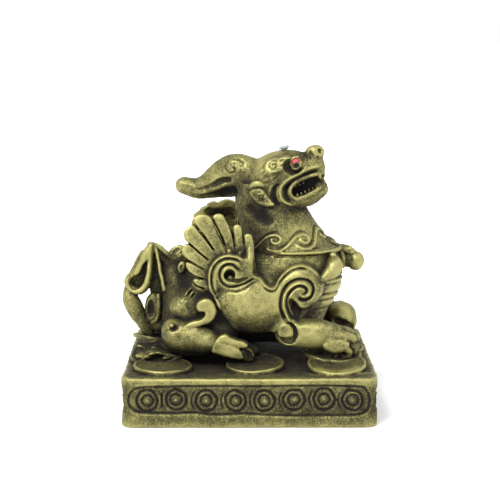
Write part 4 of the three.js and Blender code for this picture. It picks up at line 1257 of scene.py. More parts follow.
def face_relief():
    """A side of the face, by how far forward and up in the head's frame."""
    face = Relief((-9, -9), (12, 8))
    outer_lip = [
        (10, -0.4), (8.6, -0.2), (7, -0.1), (5.2, -0.4), (3.4, -0.6), (2, -1), (1, -1.8), (0.5, -3),
        (0.5, -4.3), (1.2, -5.4), (2.4, -6.1),
    ]
    face.line(outer_lip, 0.34, 0.42, 0.08)
    lip_groove = [
        (8.9, -0.9), (7.4, -0.8), (5.4, -1), (3.7, -1.15), (2.4, -1.6), (1.5, -2.5), (1.2, -3.8),
        (1.6, -4.9),
    ]
    face.line(lip_groove, 0.25, -0.38, 0.15)
    # crescents pressed into the cheek, with thin ridges beside them
    front_crescent = [
        (2.6, -1.5), (1.5, -1.7), (0.8, -2.8), (0.8, -4.1), (1.6, -4.9), (1.6, -3.8), (1.8, -2.6),
        (2.3, -1.9),
    ]
    face.patch(front_crescent, -0.55, 0.35)
    rear_crescent = [
        (0.9, -0.9), (-0.2, -0.8), (-1.2, -2), (-1.5, -3.7), (-0.8, -4.7), (-0.6, -3.4),
        (-0.3, -2.2), (0.3, -1.3),
    ]
    face.patch(rear_crescent, -0.7, 0.45)
    face.line([(1.5, -0.8), (0.5, -1.3), (-0.2, -2.4), (-0.3, -3.6), (0.1, -4.8)], 0.28, 0.25, 0.15)
    face.line([(-0.2, -0.5), (-1.4, -1.3), (-2, -2.6), (-2, -4)], 0.3, 0.2, 0.2)
    # brow: a cloud curl with a spiral
    brow = [
        (-0.9, 2.8), (-0.7, 3.7), (0.1, 4.4), (1.3, 4.4), (2.6, 4.1), (3.9, 4), (4.6, 3.3),
        (4, 2.3), (2.7, 1.6), (1.3, 1.5), (-0.1, 2),
    ]
    face.patch(brow, 0.65, 0.4)
    face.line(spiral((1.2, 3.0), 20, 0.25, 1.15, 1.4), 0.18, -0.25, 0.05)
    face.line([(2.6, 3.6), (3.4, 3.3), (4, 2.9)], 0.2, -0.3, 0.2)
    face.line([(2.5, 2.4), (3.2, 2.5), (3.8, 2.9)], 0.18, -0.25, 0.2)
    for a, b in ((-0.9, 2.2), (-0.1, 1.7), (-1.5, 3)):
        face.line([(a - 0.1, b), (a + 0.1, b)], 0.34, 0.35)
    # lids, and the wrinkles up the nose
    face.line([(4.3, 2.3), (4.4, 1.3), (5.2, 0.6), (6.3, 0.8), (7, 1.6)], 0.24, 0.4, 0.15)
    face.line([(4.1, 0.5), (5.2, -0.2), (6.6, 0.2), (7.4, 0.9)], 0.25, 0.3, 0.2)
    for f in (7.3, 7.9):
        face.line([(f, 2.9), (f + 0.2, 2), (f, 1.2)], 0.18, -0.25, 0.3)
    # creases from the cheek up to the brow
    face.line([(-2.6, 0.9), (-1.4, 1.5), (-0.6, 1.3)], 0.22, -0.2, 0.3)
    face.line([(2.4, 0.9), (1, 0.7), (-0.6, 0.2)], 0.25, -0.2, 0.3)
    return face


def on_face(x, y, z):
    """Lands the face's relief on both of its sides."""
    x, y, z = x - HEAD_PLACE[0], y - HEAD_PLACE[1], z - HEAD_PLACE[2]
    forward, left, up = (w[0] * x + w[1] * y + w[2] * z for w in HEAD_WAYS)
    return forward, up, np.clip((np.abs(left) - 0.9) / 0.8, 0, 1)


def lay_eyes_and_ears(wax):
    """An eyeball in each socket, and each ear: a rolled top and a hollow leaf with beads in it."""
    for side in SIDES:
        wax.cut(in_head(ball((4.9, 4.2 * side, 1.5), (2.1, 1.5, 1.7), (0, 20, 0))), 0.3)
        wax.add(in_head(ball((5.2, 2.55 * side, 1.75), (1.35, 1.4, 1.35))), 0.1)
        roll = [
            (-4.9, 5, 0.5, 0.62),
            (-4.1, 5.3, 0.85, 0.68),
            (-3, 5.3, 0.7, 0.66),
            (-2.3, 5.1, 0.15, 0.55),
        ]
        wax.add(in_head(strand(outward(roll, side))), 0.08)
        leaf = [
            (-5.3, -0.1), (-4.6, 0.1), (-3.2, -0.2), (-2.3, -1), (-2, -2.3), (-1.5, -3.9),
            (-2.1, -4.2), (-3.2, -3.8), (-4, -2.9), (-4.9, -1.9), (-5.4, -0.9),
        ]
        wax.add(in_head(plate(leaf, 3.6 * side, 5.9 * side, 0.4)), 0.2)
        hollow = [(-3.1, -1.2, 0.55), (-2.9, -2.2, 0.6), (-2.3, -3.2, 0.4)]
        wax.cut(in_head(strand([(f, 6.2 * side, u, half) for f, u, half in hollow])), 0.15)
        beads = [
            (-3.4, -1.3, 0.3), (-2.8, -1.5, 0.3), (-3.2, -2, 0.3), (-2.6, -2.4, 0.3),
            (-2.6, -3, 0.25),
        ]
        for forward, up, size in beads:
            wax.add(in_head(ball((forward, 5.7 * side, up), (size, 0.3, size))), 0.1)
        rim = [
            (-5, 5.5, -0.4, 0.38),
            (-4.7, 5.65, -1.8, 0.46),
            (-3.8, 5.65, -3.1, 0.5),
            (-2.7, 5.65, -3.9, 0.45),
            (-1.6, 5.6, -4.2, 0.35),
        ]
        wax.add(in_head(strand(outward(rim, side))), 0.12)


def lay_horn(wax):
    """The horn, swept back from the brow over the wings."""
    horn = [
        (3.4, -0.6, 36.2, 3.2, 2.6),
        (0.6, 0.2, 36.8, 3.5, 3.5),
        (-1.8, 0.8, 37.1, 3.3, 4.2),
        (-4, 1.4, 36.5, 2.9, 4.3),
        (-6.2, 2, 35.6, 2.6, 3.6),
        (-8.4, 2.7, 34.5, 2.3, 2.65),
        (-10.8, 3.3, 33.9, 2.1, 2.15),
        (-13.5, 3.8, 34.4, 1.85, 1.85),
    ]
    wax.add(strand(horn), 0.7)
    # along each side a ridge with a groove over it, which widens to a hollow at the neck, and a
    # deeper hollow under it
    for side in SIDES:

        def beside_horn(rows, out, side=side):
            """Rows of x, z and half width, laid along the horn's flank and so far out from it."""
            x, z, half = np.array(rows).T
            middle = np.interp(x, [-13.2, -8.4, -4, 0], [3.8, 2.7, 1.4, 0.4])
            y = middle + side * (np.interp(x, [-13, -4], [1.9, 2.9]) + out)
            return strand(list(zip(x, y, z, half)))

        groove = [
            (-11.8, 33.8, 0.22), (-9.4, 34.2, 0.35), (-7.3, 35, 0.55), (-5.8, 35.8, 0.7),
            (-4.2, 36.1, 0.65),
        ]
        wax.cut(beside_horn(groove, 0.1), 0.2)
        under = [(-10, 32.1, 0.5), (-7.8, 32.3, 1.1), (-5.4, 33.2, 1.5), (-3.6, 33.6, 1.4)]
        wax.cut(beside_horn(under, -0.3), 0.3)
        ridge = [
            (-11, 33.2, 0.35), (-8.8, 33.5, 0.45), (-6.8, 34.2, 0.5), (-5, 35, 0.5),
            (-3.2, 35.3, 0.5),
        ]
        wax.add(beside_horn(ridge, -0.4), 0.12)


def horn_relief():
    """Curls cut at the root of the horn, from the side."""
    root = Relief((-16, 30), (6, 44))
    hook = [
        (-4.9, 39.6), (-4.9, 38.7), (-4.5, 37.9), (-3.8, 37.6), (-3.1, 37.9), (-3, 38.5),
        (-3.5, 38.8),
    ]
    root.line(hook, 0.18, -0.3, 0.08)
    root.line([(-1.8, 39.4), (-2.4, 39.9), (-3.6, 39.9), (-4.4, 39.5), (-4.6, 38.9)], 0.26, 0.07, 0.25)
    root.line([(-1, 38.6), (-0.7, 39.7), (-1.4, 40.5), (-2.8, 40.8), (-4.3, 40.4)], 0.24, 0.07, 0.25)
    root.line([(-1.4, 38.8), (-1.3, 39.6), (-2, 40.2), (-3.3, 40.4)], 0.2, -0.18, 0.3)
    return root


def on_horn(x, y, z):
    """Lands the curls on both flanks of the horn's root."""
    return x, z, np.clip(np.abs(y - 0.6) - 1, 0, 1)


COLLET_WALL = 0.22
STONE_GAP = 0.05
# The heavy lower lid half over each eye stone, painted dark to stand for the shadow on the stone's
# lower half, and two thin folds round it, in the head's frame: forward, out, up and half thickness.
LIDS = [
    [(4.7, 3.9, 1.8, 0.3), (5.3, 4.15, 1.45, 0.4), (6, 3.95, 1.45, 0.38), (6.5, 3.5, 1.7, 0.28)],
    [(4.4, 3.75, 2.2, 0.22), (4.7, 4.25, 1.2, 0.26), (5.5, 4.4, 0.8, 0.28), (6.4, 3.95, 1.1, 0.24)],
    [(4.5, 3.6, 2.5, 0.22), (5.3, 3.85, 3.05, 0.25), (6.2, 3.4, 2.95, 0.22)],
]


def seat_stones(wax):
    """A round seat with a raised collet for each glass stone, open the way the stone faces."""
    for stone, (_, facing) in STONES.items():
        low, high = (np.array(corner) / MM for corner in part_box(stone))
        middle = (low + high) / 2 - (0, 0, BASE_HEIGHT)
        out = np.array(facing) @ HEAD_WAYS / np.linalg.norm(facing)
        radius = (high - low).max() / 2
        wax.add(ball(middle - 1.3 * radius * out, (radius + COLLET_WALL,) * 3), 0.2)
        opening = [(*(middle + k * out), radius + STONE_GAP) for k in (0, 1, 2)]
        wax.cut(strand(opening), 0.1)
    for side in SIDES:
        for rows in LIDS:
            wax.add(in_head(strand(outward(rows, side))), 0.08)
        # a lump over the lower half of each eye stone, painted dark as the shadow that falls there
        wax.add(in_head(ball((5.5, 4.15 * side, 1.45), (1, 0.42, 0.6))), 0.1)


# Casting the waxes in brass


def make_base():
    base = Wax((-25.8, -25.8, -10.4), (25.8, 25.8, 5.6))
    lay_base(base)
    carve_bands(base)
    lay_coins(base)
    base.roughen(0.07, 1.2, 11)
    base.roughen(0.06, 5, 12)
    # it stands on a flat underside
    base.cut(slab(30, 30, -BASE_HEIGHT - 3, -BASE_HEIGHT, 0.1, 0.05))
    return base


def make_body():
    body = Wax((-27.2, -17.6, -0.6), (25.4, 17.6, 33))
    lay_torso(body)
    lay_tail(body)
    for side in SIDES:
        lay_wing(body, side)
        lay_haunch(body, side)
    lay_resting_foreleg(body, NEAR)
    lay_raised_foreleg(body, FAR)
    body.emboss(fan_relief(), (-15, -15, 14), (-3, 15, 31), on_fan)
    body.emboss(wing_relief(), (-16, -17, 5), (18, 17, 26), on_flanks(6))
    body.emboss(comma_relief(), (-18, -17, 6), (-5, 17, 18), on_flanks(9.5))
    for side in SIDES:
        carve_wing_eye(body, side)
        carve_elbow(body, side)
    lay_chest_plates(body)
    lay_collar_drops(body)
    body.roughen(0.06, 0.9, 21)
    body.roughen(0.1, 3.5, 22)
    return body


def make_head():
    head = Wax((-16.2, -12, 21.4), (19.6, 11, 44.4))
    lay_neck(head)
    lay_horn(head)
    lay_skull(head)
    head.emboss(wave_relief(), (-4, -11, 22), (19.4, 11, 29), round_neck)
    head.emboss(face_relief(), (-4, -12, 26), (19, 10, 44), on_face)
    head.emboss(horn_relief(), (-8, -6, 35), (3, 8, 43), on_horn)
    lay_mouth(head)
    lay_eyes_and_ears(head)
    seat_stones(head)
    head.roughen(0.05, 0.9, 31)
    head.roughen(0.09, 3.5, 32)
    return head


SHADE_STEP = 0.4
NEAR_SHADE, FAR_SHADE = 5, 14  # how many of those steps the metal is counted over
CREASE_REACH = 0.5  # how far round a place its crease is measured
FULL_CREASE = 0.16


def shade_blocks(waxes):
    """How much metal lies round each place, coarsely, for where the patina has been kept and where
    shade is painted into recesses and under parts.
    """
    whole = Wax((-29, -29, -13), (29, 29, 47), SHADE_STEP)
    for wax in waxes:
        low, high = ([axis[i] for axis in wax.axes] for i in (0, -1))

        def measure(x, y, z, wax=wax):
            spots = [
                np.clip(np.round(v / wax.step).astype(int) - first, 0, len(axis) - 1)
                for v, first, axis in zip((x, y, z), wax.first, wax.axes)
            ]
            return wax.field[tuple(spots)]

        spans, axes = whole.window(low, high)
        whole.field[spans] = np.minimum(whole.field[spans], measure(*axes))
    full = np.clip(0.5 - whole.field / SHADE_STEP, 0, 1)
    return whole, blurred(full, NEAR_SHADE), blurred(full, FAR_SHADE)


def read_block(wax, block, points):
    """A block's values at points in mm, read between its grid's places."""
    spots = points / wax.step - wax.first
    spots = np.clip(spots, 0, np.array(block.shape) - 1.001)
    cell = spots.astype(int)
    share = spots - cell
    total = np.zeros(len(points))
    for corner in itertools.product((0, 1), repeat=3):
        weight = np.prod(np.where(corner, share, 1 - share), axis=1)
        total += weight * block[tuple((cell + corner).T)]
    return total


# Where hands and cloths have rubbed the brass bright, above 0, and where grime has stayed, below.
# Some rows are painted shade and painted highlights rather than wear: shade under the body, in
# hollows, under the horn, in the mouth and over each eye stone's lower half, and highlights on lit
# tops and on the coins' fronts.
# Rows are forward, out from the middle, up, how wide, and how much, the head's in its own frame.
BASE_WEAR_AND_PAINTED_LIGHT = [
    # painted shade on the plinth's rounded corners, where they turn away from the light, most at the
    # right end
    (25, 25, -5, 3.6, -0.25),
    (-25, 25, -3, 3, -0.12),
    # painted highlights on the fronts of the coins in front, over their rubbed rims; brightest on the
    # right coin, which is tilted to the light
    (13.1, 20, 0.6, 1.5, 1.1),
    (15.6, 21.3, 0.6, 1.4, 1.1),
    (18.6, 21.3, 0.6, 1.4, 1.1),
    (21.3, 20, 0.6, 1.5, 1.1),
    (-1.5, 20.6, 0.6, 2.4, 0.4),
    (3, 20.6, 0.6, 2.4, 0.4),
    (-17.5, 22.4, 0.8, 3, 0.25),
    (-20, 5, 3, 6, -0.1),
    # painted shade on the plinth under the paws and under the belly
    (20, 10, 1.5, 5, -0.2),
    (2, 11, 0.5, 5, -0.5),
    (-17, 16.5, 0.8, 4, 0.22),
    # the plinth's front top edge, rubbed bright, with a painted highlight along it
    (6, 23, 0, 3, 0.2),
    (-8, 23, 0, 3, 0.15),
]
BODY_WEAR_AND_PAINTED_LIGHT = [
    # the flank, rubbed bright along its band, with painted shade on its lower side, which faces down,
    # and under the belly; the far wing's vane, with painted shade in its recess and a painted
    # highlight on its crest
    (-3.5, 12.5, 13, 4.5, 0.34),
    (1.5, 12.5, 12.2, 4.5, 0.38),
    (4.6, 12.4, 13.4, 2.6, 0.3),
    (5.2, 12, 10.4, 2.8, 0.22),
    # painted shade on the lower flank, which faces down
    (-3, 10.5, 6.8, 3.4, -0.2),
    (-5.4, 13, 11, 2.2, -0.12),
    (-3.4, 13, 9.6, 2.4, 0.08),
    # painted shade in the far vane's recess, then a painted highlight on its crest
    (-7, 7.9, 28.2, 1.4, -0.5),
    (-4.2, 7.9, 28.2, 1.4, -0.5),
    (-7.4, 8.2, 30.8, 1.2, 1),
    (-4.8, 8.2, 31, 1.3, 1),
    (-10.4, 8.6, 29, 1.4, 0.4),
    # painted shade on the lower flank and under the belly
    (2, 10.5, 6, 3.8, -0.38),
    (6.5, 10.5, 7.8, 2.4, -0.2),
    (0, 6, 2, 6, -0.8),
    # shoulder, chest and tassels
    (8, 10, 19.6, 4.6, 0.42),
    (13, 8, 20.4, 3, 0.2),
    (17, 4, 13, 4.6, 0.58),
    (17.2, 8.5, 19.3, 2.2, 0.18),
    (22, 0, 19.4, 2.2, 0.24),
    # rump and haunch, with a painted highlight on the rump's lit side and painted shade between the
    # haunch and the belly, under the leg and in the hock's socket
    (-14, 9, 16, 3, -0.12),
    (-10, 11.8, 14.8, 1.9, -0.28),
    (-9, 11.5, 24, 5, 0.14),
    # painted highlight on the rump's lit side
    (-14.2, 12, 10.6, 2.2, 0.2),
    (-15.2, 10.5, 13.6, 1.6, -0.15),
    (-8.6, 12.6, 11.3, 3, -0.2),
    (-8.2, 15, 11, 2.4, 0.36),
    (-11.4, 15, 8.6, 1.6, 0.45),
    # painted shade between the haunch and the belly, under the hind leg and in the hock's socket
    (-5.4, 12, 9.6, 2, -0.3),
    (-11, 12, 2.6, 4, -0.35),
    (-15.4, 14, 8.3, 1.2, -0.2),
    (-24, 4.4, 9, 3.4, -0.12),
    (-0.4, 12, 23.5, 1.8, -0.18),
    # hind leg and foot, with painted shade behind and under the leg and between the foot and the belly
    (-13, 15, 5.6, 2.2, 0.22),
    (-9.8, 15, 5.2, 2, 0.18),
    # painted shade behind the leg
    (-15.5, 13, 5, 1.8, -0.25),
    (-8.6, 14.8, 5.2, 2.4, 0.18),
    # painted shade under the leg
    (-7.6, 13, 2.6, 2.4, -0.3),
    (-4.2, 16, 4.6, 2.2, 0.42),
    (-3.5, 16, 3, 1.8, 0.3),
    (0.2, 15.4, 2.8, 1.3, -0.6),
    # painted shade between the foot and the belly
    (-2, 11, 4.4, 2.4, -0.5),
    # foreleg
    (7.6, 14.4, 6.9, 1.5, 0.25),
    (10, 14.4, 5, 1.8, 0.32),
    (12.5, 14, 6.4, 3, 0.3),
    (15, 12, 8.8, 2.4, -0.12),
    (17, 15, 4.4, 2.2, 0.3),
    (21.6, 12, 4, 2.4, -0.35),
    (12.5, 14.6, 4.8, 2.2, 0.3),
    # tail, with painted shade in its leaves' hollows and between it and the rump
    (-23.6, 4.5, 17.6, 2.2, 0.25),
    (-21.6, 5.4, 14, 1.7, 0.3),
    (-20, 3.6, 22, 2.4, 0.22),
    # painted shade in the hanging leaf's hollow
    (-22.3, 4, 16.3, 1.5, -0.4),
    (-13.8, 5.4, 18.5, 1.2, -0.15),
    # painted shade between the tail and the rump
    (-16, 1, 18, 4, -0.2),
    (-13.4, 5, 16.8, 2.6, -0.1),
    # painted shade in the small leaf's hollow
    (-20.2, 4.2, 9.9, 1.3, -0.4),
    # the far forepaw: painted shade in the hollow under it and a painted highlight on its top
    (19.2, 4, 4.9, 1.7, -0.6),
    (19.8, 4.4, 7.4, 1.6, 0.3),
]
NECK_WEAR_AND_PAINTED_LIGHT = [
    (0, 5, 27.5, 4, -0.1),
    # painted shade in the hollow under the ear
    (1.4, 5.8, 29.8, 2.2, -0.28),
    (12, 5, 26, 4.5, 0.38),
    (8, 8, 24.4, 3.4, 0.3),
    (14, 5, 22.6, 3, 0.15),
    (-2.5, 3, 39.6, 3.4, -0.02),
    (-7, 4, 37, 3.4, 0.2),
    (-8, 0.5, 36.5, 3, 0.12),
    (-13.2, 3.8, 34.6, 2.6, -0.1),
    # painted shade under the horn
    (-7.8, 0.2, 33.1, 1.3, -0.5),
    (-5.6, 0.8, 33.3, 1.5, -0.7),
    (-3.8, 1.4, 33.8, 1.4, -0.6),
    (-5.5, 4.6, 33.2, 2, -0.6),
    (0, 0, 41, 3, 0.12),
    (0.5, 9, 22.4, 3, -0.35),
]
HEAD_WEAR_AND_PAINTED_LIGHT = [
    (-1.5, 2.5, 4.8, 3.4, 0.42),
    (2, 2, 5, 2.4, 0.2),
    (-1.5, 4.6, 2, 2.4, 0.22),
    (1.5, 4, 3.4, 1.8, -0.08),
    (-3.4, 5.4, 0.4, 1.8, 0.1),
    (-4.2, 5.8, -2.8, 1.8, -0.16),
    (9.2, 1.4, 2.6, 2, -0.05),
    (8, 2.4, 0.2, 2, 0.1),
    (5, 3.6, -0.2, 2, -0.05),
    (4.6, 4.2, 1, 1.3, -0.1),
    # painted shadow on the lower lid, over the lower half of each eye stone
    (5.6, 4.5, 1.5, 0.7, -1.3),
    (3, 3.4, -6, 3.4, -0.02),
    (-0.5, 4, -4, 2.4, -0.02),
    # painted shade inside the mouth
    (5.5, 0, -3.2, 2.4, -1.7),
]


def rubbed(points, rows):
    """How much the metal is rubbed at points, with the painted shade and highlights in the rows, alike
    on the two sides.
    """
    total = np.zeros(len(points))
    for x, out, z, wide, much in rows:
        away = (points[:, 0] - x) ** 2 + (np.abs(points[:, 1]) - out) ** 2 + (points[:, 2] - z) ** 2
        total += much * np.exp(-away / wide**2)
    return total


def base_wear_and_painted_light(points):
    """The plinth's wear, painted shade and painted highlights. Its top is darker all over, kept grime
    with a painted reflection of the dark figure over it, and the panels on its sides keep their grime.
    """
    x, y, z = np.abs(points[:, 0]), np.abs(points[:, 1]), points[:, 2]
    top = np.clip((24.6 - np.maximum(x, y)) / 0.9, 0, 1) * np.clip((z + 0.8) / 0.6, 0, 1)
    panel = np.clip(2 * (2.9 - np.abs(z + 4.3)), 0, 1)
    return rubbed(points, BASE_WEAR_AND_PAINTED_LIGHT) - 0.14 * top - 0.12 * panel


def body_wear_and_painted_light(points):
    return rubbed(points, BODY_WEAR_AND_PAINTED_LIGHT)


def head_wear_and_painted_light(points):
    in_frame = (points - HEAD_PLACE) @ HEAD_WAYS.T
    return rubbed(points, NECK_WEAR_AND_PAINTED_LIGHT) + rubbed(in_frame, HEAD_WEAR_AND_PAINTED_LIGHT)


def in_one_piece(points, quads):
    """The largest connected skin, without the bubbles and flakes that the carving leaves."""
    label = np.arange(len(points))
    while True:
        low = label[quads].min(axis=1)
        lower = label.copy()
        for corner in quads.T:
            np.minimum.at(lower, corner, low)
        lower = lower[lower]
        if (lower == label).all():
            break
        label = lower
    mine = label[quads[:, 0]]
    quads = quads[mine == np.bincount(mine).argmax()]
    used, places = np.unique(quads, return_inverse=True)
    return points[used], places.reshape(quads.shape)


def cast(wax, name, most, shades, wear_and_painted_light):
    """The wax's skin as a mesh of at most that many triangles, marked for the patina and for the
    painted shade and highlights.
    """
    grid = openvdb.FloatGrid(REACH)
    grid.copyFromArray(wax.field)
    points, quads = in_one_piece(*grid.convertToQuads(isovalue=0.0))
    points = (points + wax.first) * wax.step
    mesh = bpy.data.meshes.new(name)
    mesh.from_pydata(points + (0, 0, BASE_HEIGHT), [], quads[:, ::-1])
    piece = bpy.data.objects.new(name, mesh)
    bpy.context.scene.collection.objects.link(piece)
    if 2 * len(quads) > most:
        thin = piece.modifiers.new("Fewer", "DECIMATE")
        thin.ratio = most / (2 * len(quads))
        dense = mesh
        thinned = piece.evaluated_get(bpy.context.evaluated_depsgraph_get())
        mesh = bpy.data.meshes.new_from_object(thinned)
        piece.modifiers.clear()
        piece.data = mesh
        mesh.name = name
        bpy.data.meshes.remove(dense)
    mesh.validate()
    count = len(mesh.vertices)
    places = np.empty(3 * count, np.float32)
    mesh.vertices.foreach_get("co", places)
    places = places.reshape(-1, 3).astype(float) - (0, 0, BASE_HEIGHT)
    whole, near, far = shades
    skin = blurred(np.clip(wax.field, -0.7, 0.7), max(1, round(CREASE_REACH / wax.step)))
    # hollow and the wide mark after it: how much metal is round a place, which darkens it, partly
    # grime kept in recesses, partly painted shade in recesses, between parts and under them
    marks = {
        "crease": -read_block(wax, skin, places) / FULL_CREASE,
        "hollow": read_block(whole, near, places) * 2 - 1,
        "sheltered_grime_and_painted_shade": read_block(whole, far, places) * 2 - 1,
        "wear_and_painted_light": wear_and_painted_light(places),
    }
    for mark, values in marks.items():
        layer = mesh.attributes.new(mark, "FLOAT", "POINT")
        layer.data.foreach_set("value", values.astype(np.float32))
    placed_in_metres = (places + (0, 0, BASE_HEIGHT)) * MM
    mesh.vertices.foreach_set("co", placed_in_metres.astype(np.float32).ravel())
    mesh.shade_smooth()
    mesh.update()
    return piece


# Materials


def linear(code):
    """An sRGB hex colour as the shader's linear colour."""
    channels = [int(code[i : i + 2], 16) / 255 for i in (1, 3, 5)]
    return (*[c / 12.92 if c <= 0.04045 else ((c + 0.055) / 1.055) ** 2.4 for c in channels], 1)


def node(tree, kind, inputs=None, **settings):
    """Adds a node, sets it, and sets or links its inputs."""
    made = tree.nodes.new("ShaderNode" + kind)
    for name, value in settings.items():
        setattr(made, name, value)
    for name, value in (inputs or {}).items():
        if isinstance(value, bpy.types.NodeSocket):
            tree.links.new(value, made.inputs[name])
        else:
            made.inputs[name].default_value = value
    return made


def new_material(name):
    material = bpy.data.materials.new(name)
    material.use_nodes = True
    tree = material.node_tree
    return material, tree, tree.nodes["Principled BSDF"]


# How wide the marks in the patina are, in mm. The real grit of the cast is finer than the picture
# can show, so it is drawn coarser.
PATCH_WIDTH = 6
MOTTLE_WIDTH = 1.2
GRIT_WIDTH = 0.3
# From the grime and painted shade in the deepest recess to bare brass: how much it is rubbed, counting
# the painted shade and highlights, and its colour.
BRASS_TONES = [
    (0.0, "#120f07"),
    (0.2, "#2b2614"),
    (0.4, "#4b472d"),
    (0.6, "#69653f"),
    (0.8, "#8a8555"),
    (1.0, "#a8a268"),
]


def antique_brass():
    """Cast brass, blackened all over and rubbed back, so it is bright where a cloth reaches, with
    shade in recesses and under parts and some highlights painted into its colour.
    """
    material, tree, shader = new_material("Antique brass, cast and rubbed")
    place = node(tree, "TexCoord").outputs["Object"]

    def grain(width, detail):
        settings = {"Vector": place, "Scale": 1 / (width * MM), "Detail": detail, "Roughness": 0.6}
        return node(tree, "TexNoise", settings).outputs["Fac"]

    patches = grain(PATCH_WIDTH, 2)
    mottle = grain(MOTTLE_WIDTH, 3)
    grit = grain(GRIT_WIDTH, 2)
    mark = {
        name: node(tree, "Attribute", attribute_name=name).outputs["Fac"]
        for name in ("crease", "hollow", "sheltered_grime_and_painted_shade", "wear_and_painted_light")
    }

    def plus(a, b, factor):
        """a plus factor times b."""
        return node(tree, "Math", {0: b, 1: factor, 2: a}, operation="MULTIPLY_ADD").outputs[0]

    def by_rub_and_painted_light(low, high, at_low, at_high):
        """A value that goes from at_low to at_high while the rub goes from low to high."""
        ends = {"From Min": low, "From Max": high, "To Min": at_low, "To Max": at_high}
        return node(tree, "MapRange", {"Value": rub_and_painted_light, **ends}).outputs["Result"]

    # 0 in the deepest recess, 1 on the most rubbed edge; the marks below bring in painted shade and
    # painted highlights as well as wear and grime
    rub_and_painted_light = plus(0.37, mark["wear_and_painted_light"], 1.0)
    # darker where much metal is round a place: grime kept in recesses, and painted shade in recesses,
    # between parts and under them
    rub_and_painted_light = plus(rub_and_painted_light, mark["sheltered_grime_and_painted_shade"], -0.45)
    rub_and_painted_light = plus(rub_and_painted_light, mark["hollow"], -0.6)
    rub_and_painted_light = plus(rub_and_painted_light, mark["crease"], -0.75)
    # what is left of the grime is grainy, but not where it is polished away
    spots = plus(-1.02, patches, 0.45)
    spots = plus(spots, mottle, 0.6)
    spots = plus(spots, grit, 1.0)
    rub_and_painted_light = plus(rub_and_painted_light, spots, by_rub_and_painted_light(0.6, 1.0, 1.0, 0.35))
    tones = node(tree, "ValToRGB", {"Fac": rub_and_painted_light})
    ramp = tones.color_ramp
    while len(ramp.elements) < len(BRASS_TONES):
        ramp.elements.new(0.5)
    for element, (spot, code) in zip(ramp.elements, BRASS_TONES):
        element.position = spot
        element.color = linear(code)
    tree.links.new(tones.outputs["Color"], shader.inputs["Base Color"])
    # grime is dull and hides the metal
    tree.links.new(by_rub_and_painted_light(0.1, 0.8, 0.9, 0.5), shader.inputs["Roughness"])
    tree.links.new(by_rub_and_painted_light(0.1, 0.6, 0.3, 0.9), shader.inputs["Metallic"])
    pits = node(tree, "Bump", {"Height": grit, "Strength": 0.35, "Distance": 0.08 * MM})
    waves = {"Height": mottle, "Strength": 0.4, "Distance": 0.2 * MM}
    skin = node(tree, "Bump", {**waves, "Normal": pits.outputs["Normal"]})
    tree.links.new(skin.outputs["Normal"], shader.inputs["Normal"])
    return material


# Each cut glass: its name, colour, roughness and how much light goes through. Foil behind a stone
# throws its colour back, so little shows through. The clear one is polished and glitters, and the
# red ones have gone matt.
GLASS = {
    "red": ("Red cut glass on foil", "#a81c2c", 0.45, 0.1),
    "clear": ("Clear cut glass on foil", "#b4beb8", 0.05, 0.35),
}


def cut_glass(name, code, rough, clear):
    material, _, shader = new_material(name)
    shader.inputs["Base Color"].default_value = linear(code)
    shader.inputs["Roughness"].default_value = rough
    shader.inputs["IOR"].default_value = 1.55
    shader.inputs["Transmission Weight"].default_value = clear
    return material


# The pieces

base, body, head = make_base(), make_body(), make_head()
shades = shade_blocks((base, body, head))
brass = antique_brass()
# Each wax, its name, the most triangles it may have and where it is rubbed, with its painted shade and
# highlights.
castings = [
    (base, "plinth_and_coins", 190000, base_wear_and_painted_light),
    (body, "pixiu_body", 194000, body_wear_and_painted_light),
    (head, "pixiu_head_and_horn", 190000, head_wear_and_painted_light),
]
for wax, name, most, wear_and_painted_light in castings:
    piece = cast(wax, name, most, shades, wear_and_painted_light)
    piece.data.materials.append(brass)
    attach(piece, "root")
    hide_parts("pixiu_casting")

glass = {kind: cut_glass(*look) for kind, look in GLASS.items()}
for stone, (kind, _) in STONES.items():
    stone_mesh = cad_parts[stone].data
    stone_mesh.materials.clear()
    stone_mesh.materials.append(glass[kind])


# Studio


def add_sun(name, toward, spread, power):
    """Soft light from far away, from that direction, spread over so many degrees."""
    data = bpy.data.lights.new(name, "SUN")
    data.angle = math.radians(spread)
    data.energy = power
    light = bpy.data.objects.new(name, data)
    light.rotation_euler = Vector(toward).to_track_quat("Z", "Y").to_euler()
    bpy.context.scene.collection.objects.link(light)


FLOOR_SIDE = 12.0  # metres
FIBRES_PER_METRE = 900.0


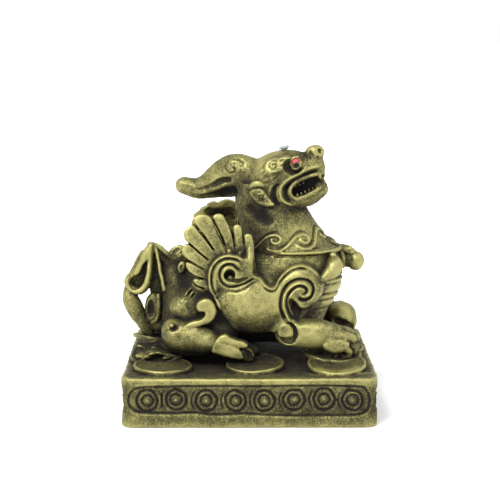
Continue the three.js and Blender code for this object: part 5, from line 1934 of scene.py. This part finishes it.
def lay_floor():
    """A big sheet of white card."""
    mesh = bpy.data.meshes.new("card_floor")
    half = FLOOR_SIDE / 2
    corners = [(-half, -half, 0), (half, -half, 0), (half, half, 0), (-half, half, 0)]
    mesh.from_pydata(corners, [], [(0, 1, 2, 3)])
    floor = bpy.data.objects.new("card_floor", mesh)
    bpy.context.scene.collection.objects.link(floor)
    material, tree, shader = new_material("White matt card")
    place = node(tree, "TexCoord").outputs["Object"]
    fibre = node(tree, "TexNoise", {"Vector": place, "Scale": FIBRES_PER_METRE, "Detail": 2.0})
    shade = node(tree, "ValToRGB", {"Fac": fibre.outputs["Fac"]})
    shade.color_ramp.elements[0].color = linear("#f6f6f6")
    shade.color_ramp.elements[1].color = linear("#fdfdfd")
    tree.links.new(shade.outputs["Color"], shader.inputs["Base Color"])
    shader.inputs["Roughness"].default_value = 0.9
    mesh.materials.append(material)


def set_world():
    """Even white light from all round."""
    world = bpy.data.worlds.new("Studio")
    bpy.context.scene.world = world
    world.use_nodes = True
    sky = world.node_tree.nodes["Background"]
    sky.inputs["Color"].default_value = (1, 1, 1, 1)
    sky.inputs["Strength"].default_value = 1.0


CAMERA_PLACE = (-1.8, -303.4, 77.0)  # mm from the middle of the base's underside
CAMERA_DOWN = 8.59  # degrees below level
CAMERA_ASIDE = 0.37  # degrees towards the beast's head
CAMERA_LENS = 106.56  # mm, on a sensor 36 mm wide


def place_camera():
    """The photo's own view, from the beast's right side and a little above."""
    data = bpy.data.cameras.new("camera")
    data.sensor_width = 36
    data.lens = CAMERA_LENS
    data.clip_start, data.clip_end = 0.01, 50
    camera = bpy.data.objects.new("camera", data)
    camera.location = Vector(CAMERA_PLACE) * MM
    camera.rotation_euler = (math.radians(90 - CAMERA_DOWN), 0, math.radians(-CAMERA_ASIDE))
    bpy.context.scene.collection.objects.link(camera)
    bpy.context.scene.camera = camera


lay_floor()
set_world()
add_sun("key", (-0.4, -0.62, 0.8), 24, 2.4)
add_sun("fill", (0.5, -0.2, 0.6), 60, 0.5)
place_camera()
bpy.context.scene.view_settings.view_transform = "Standard"
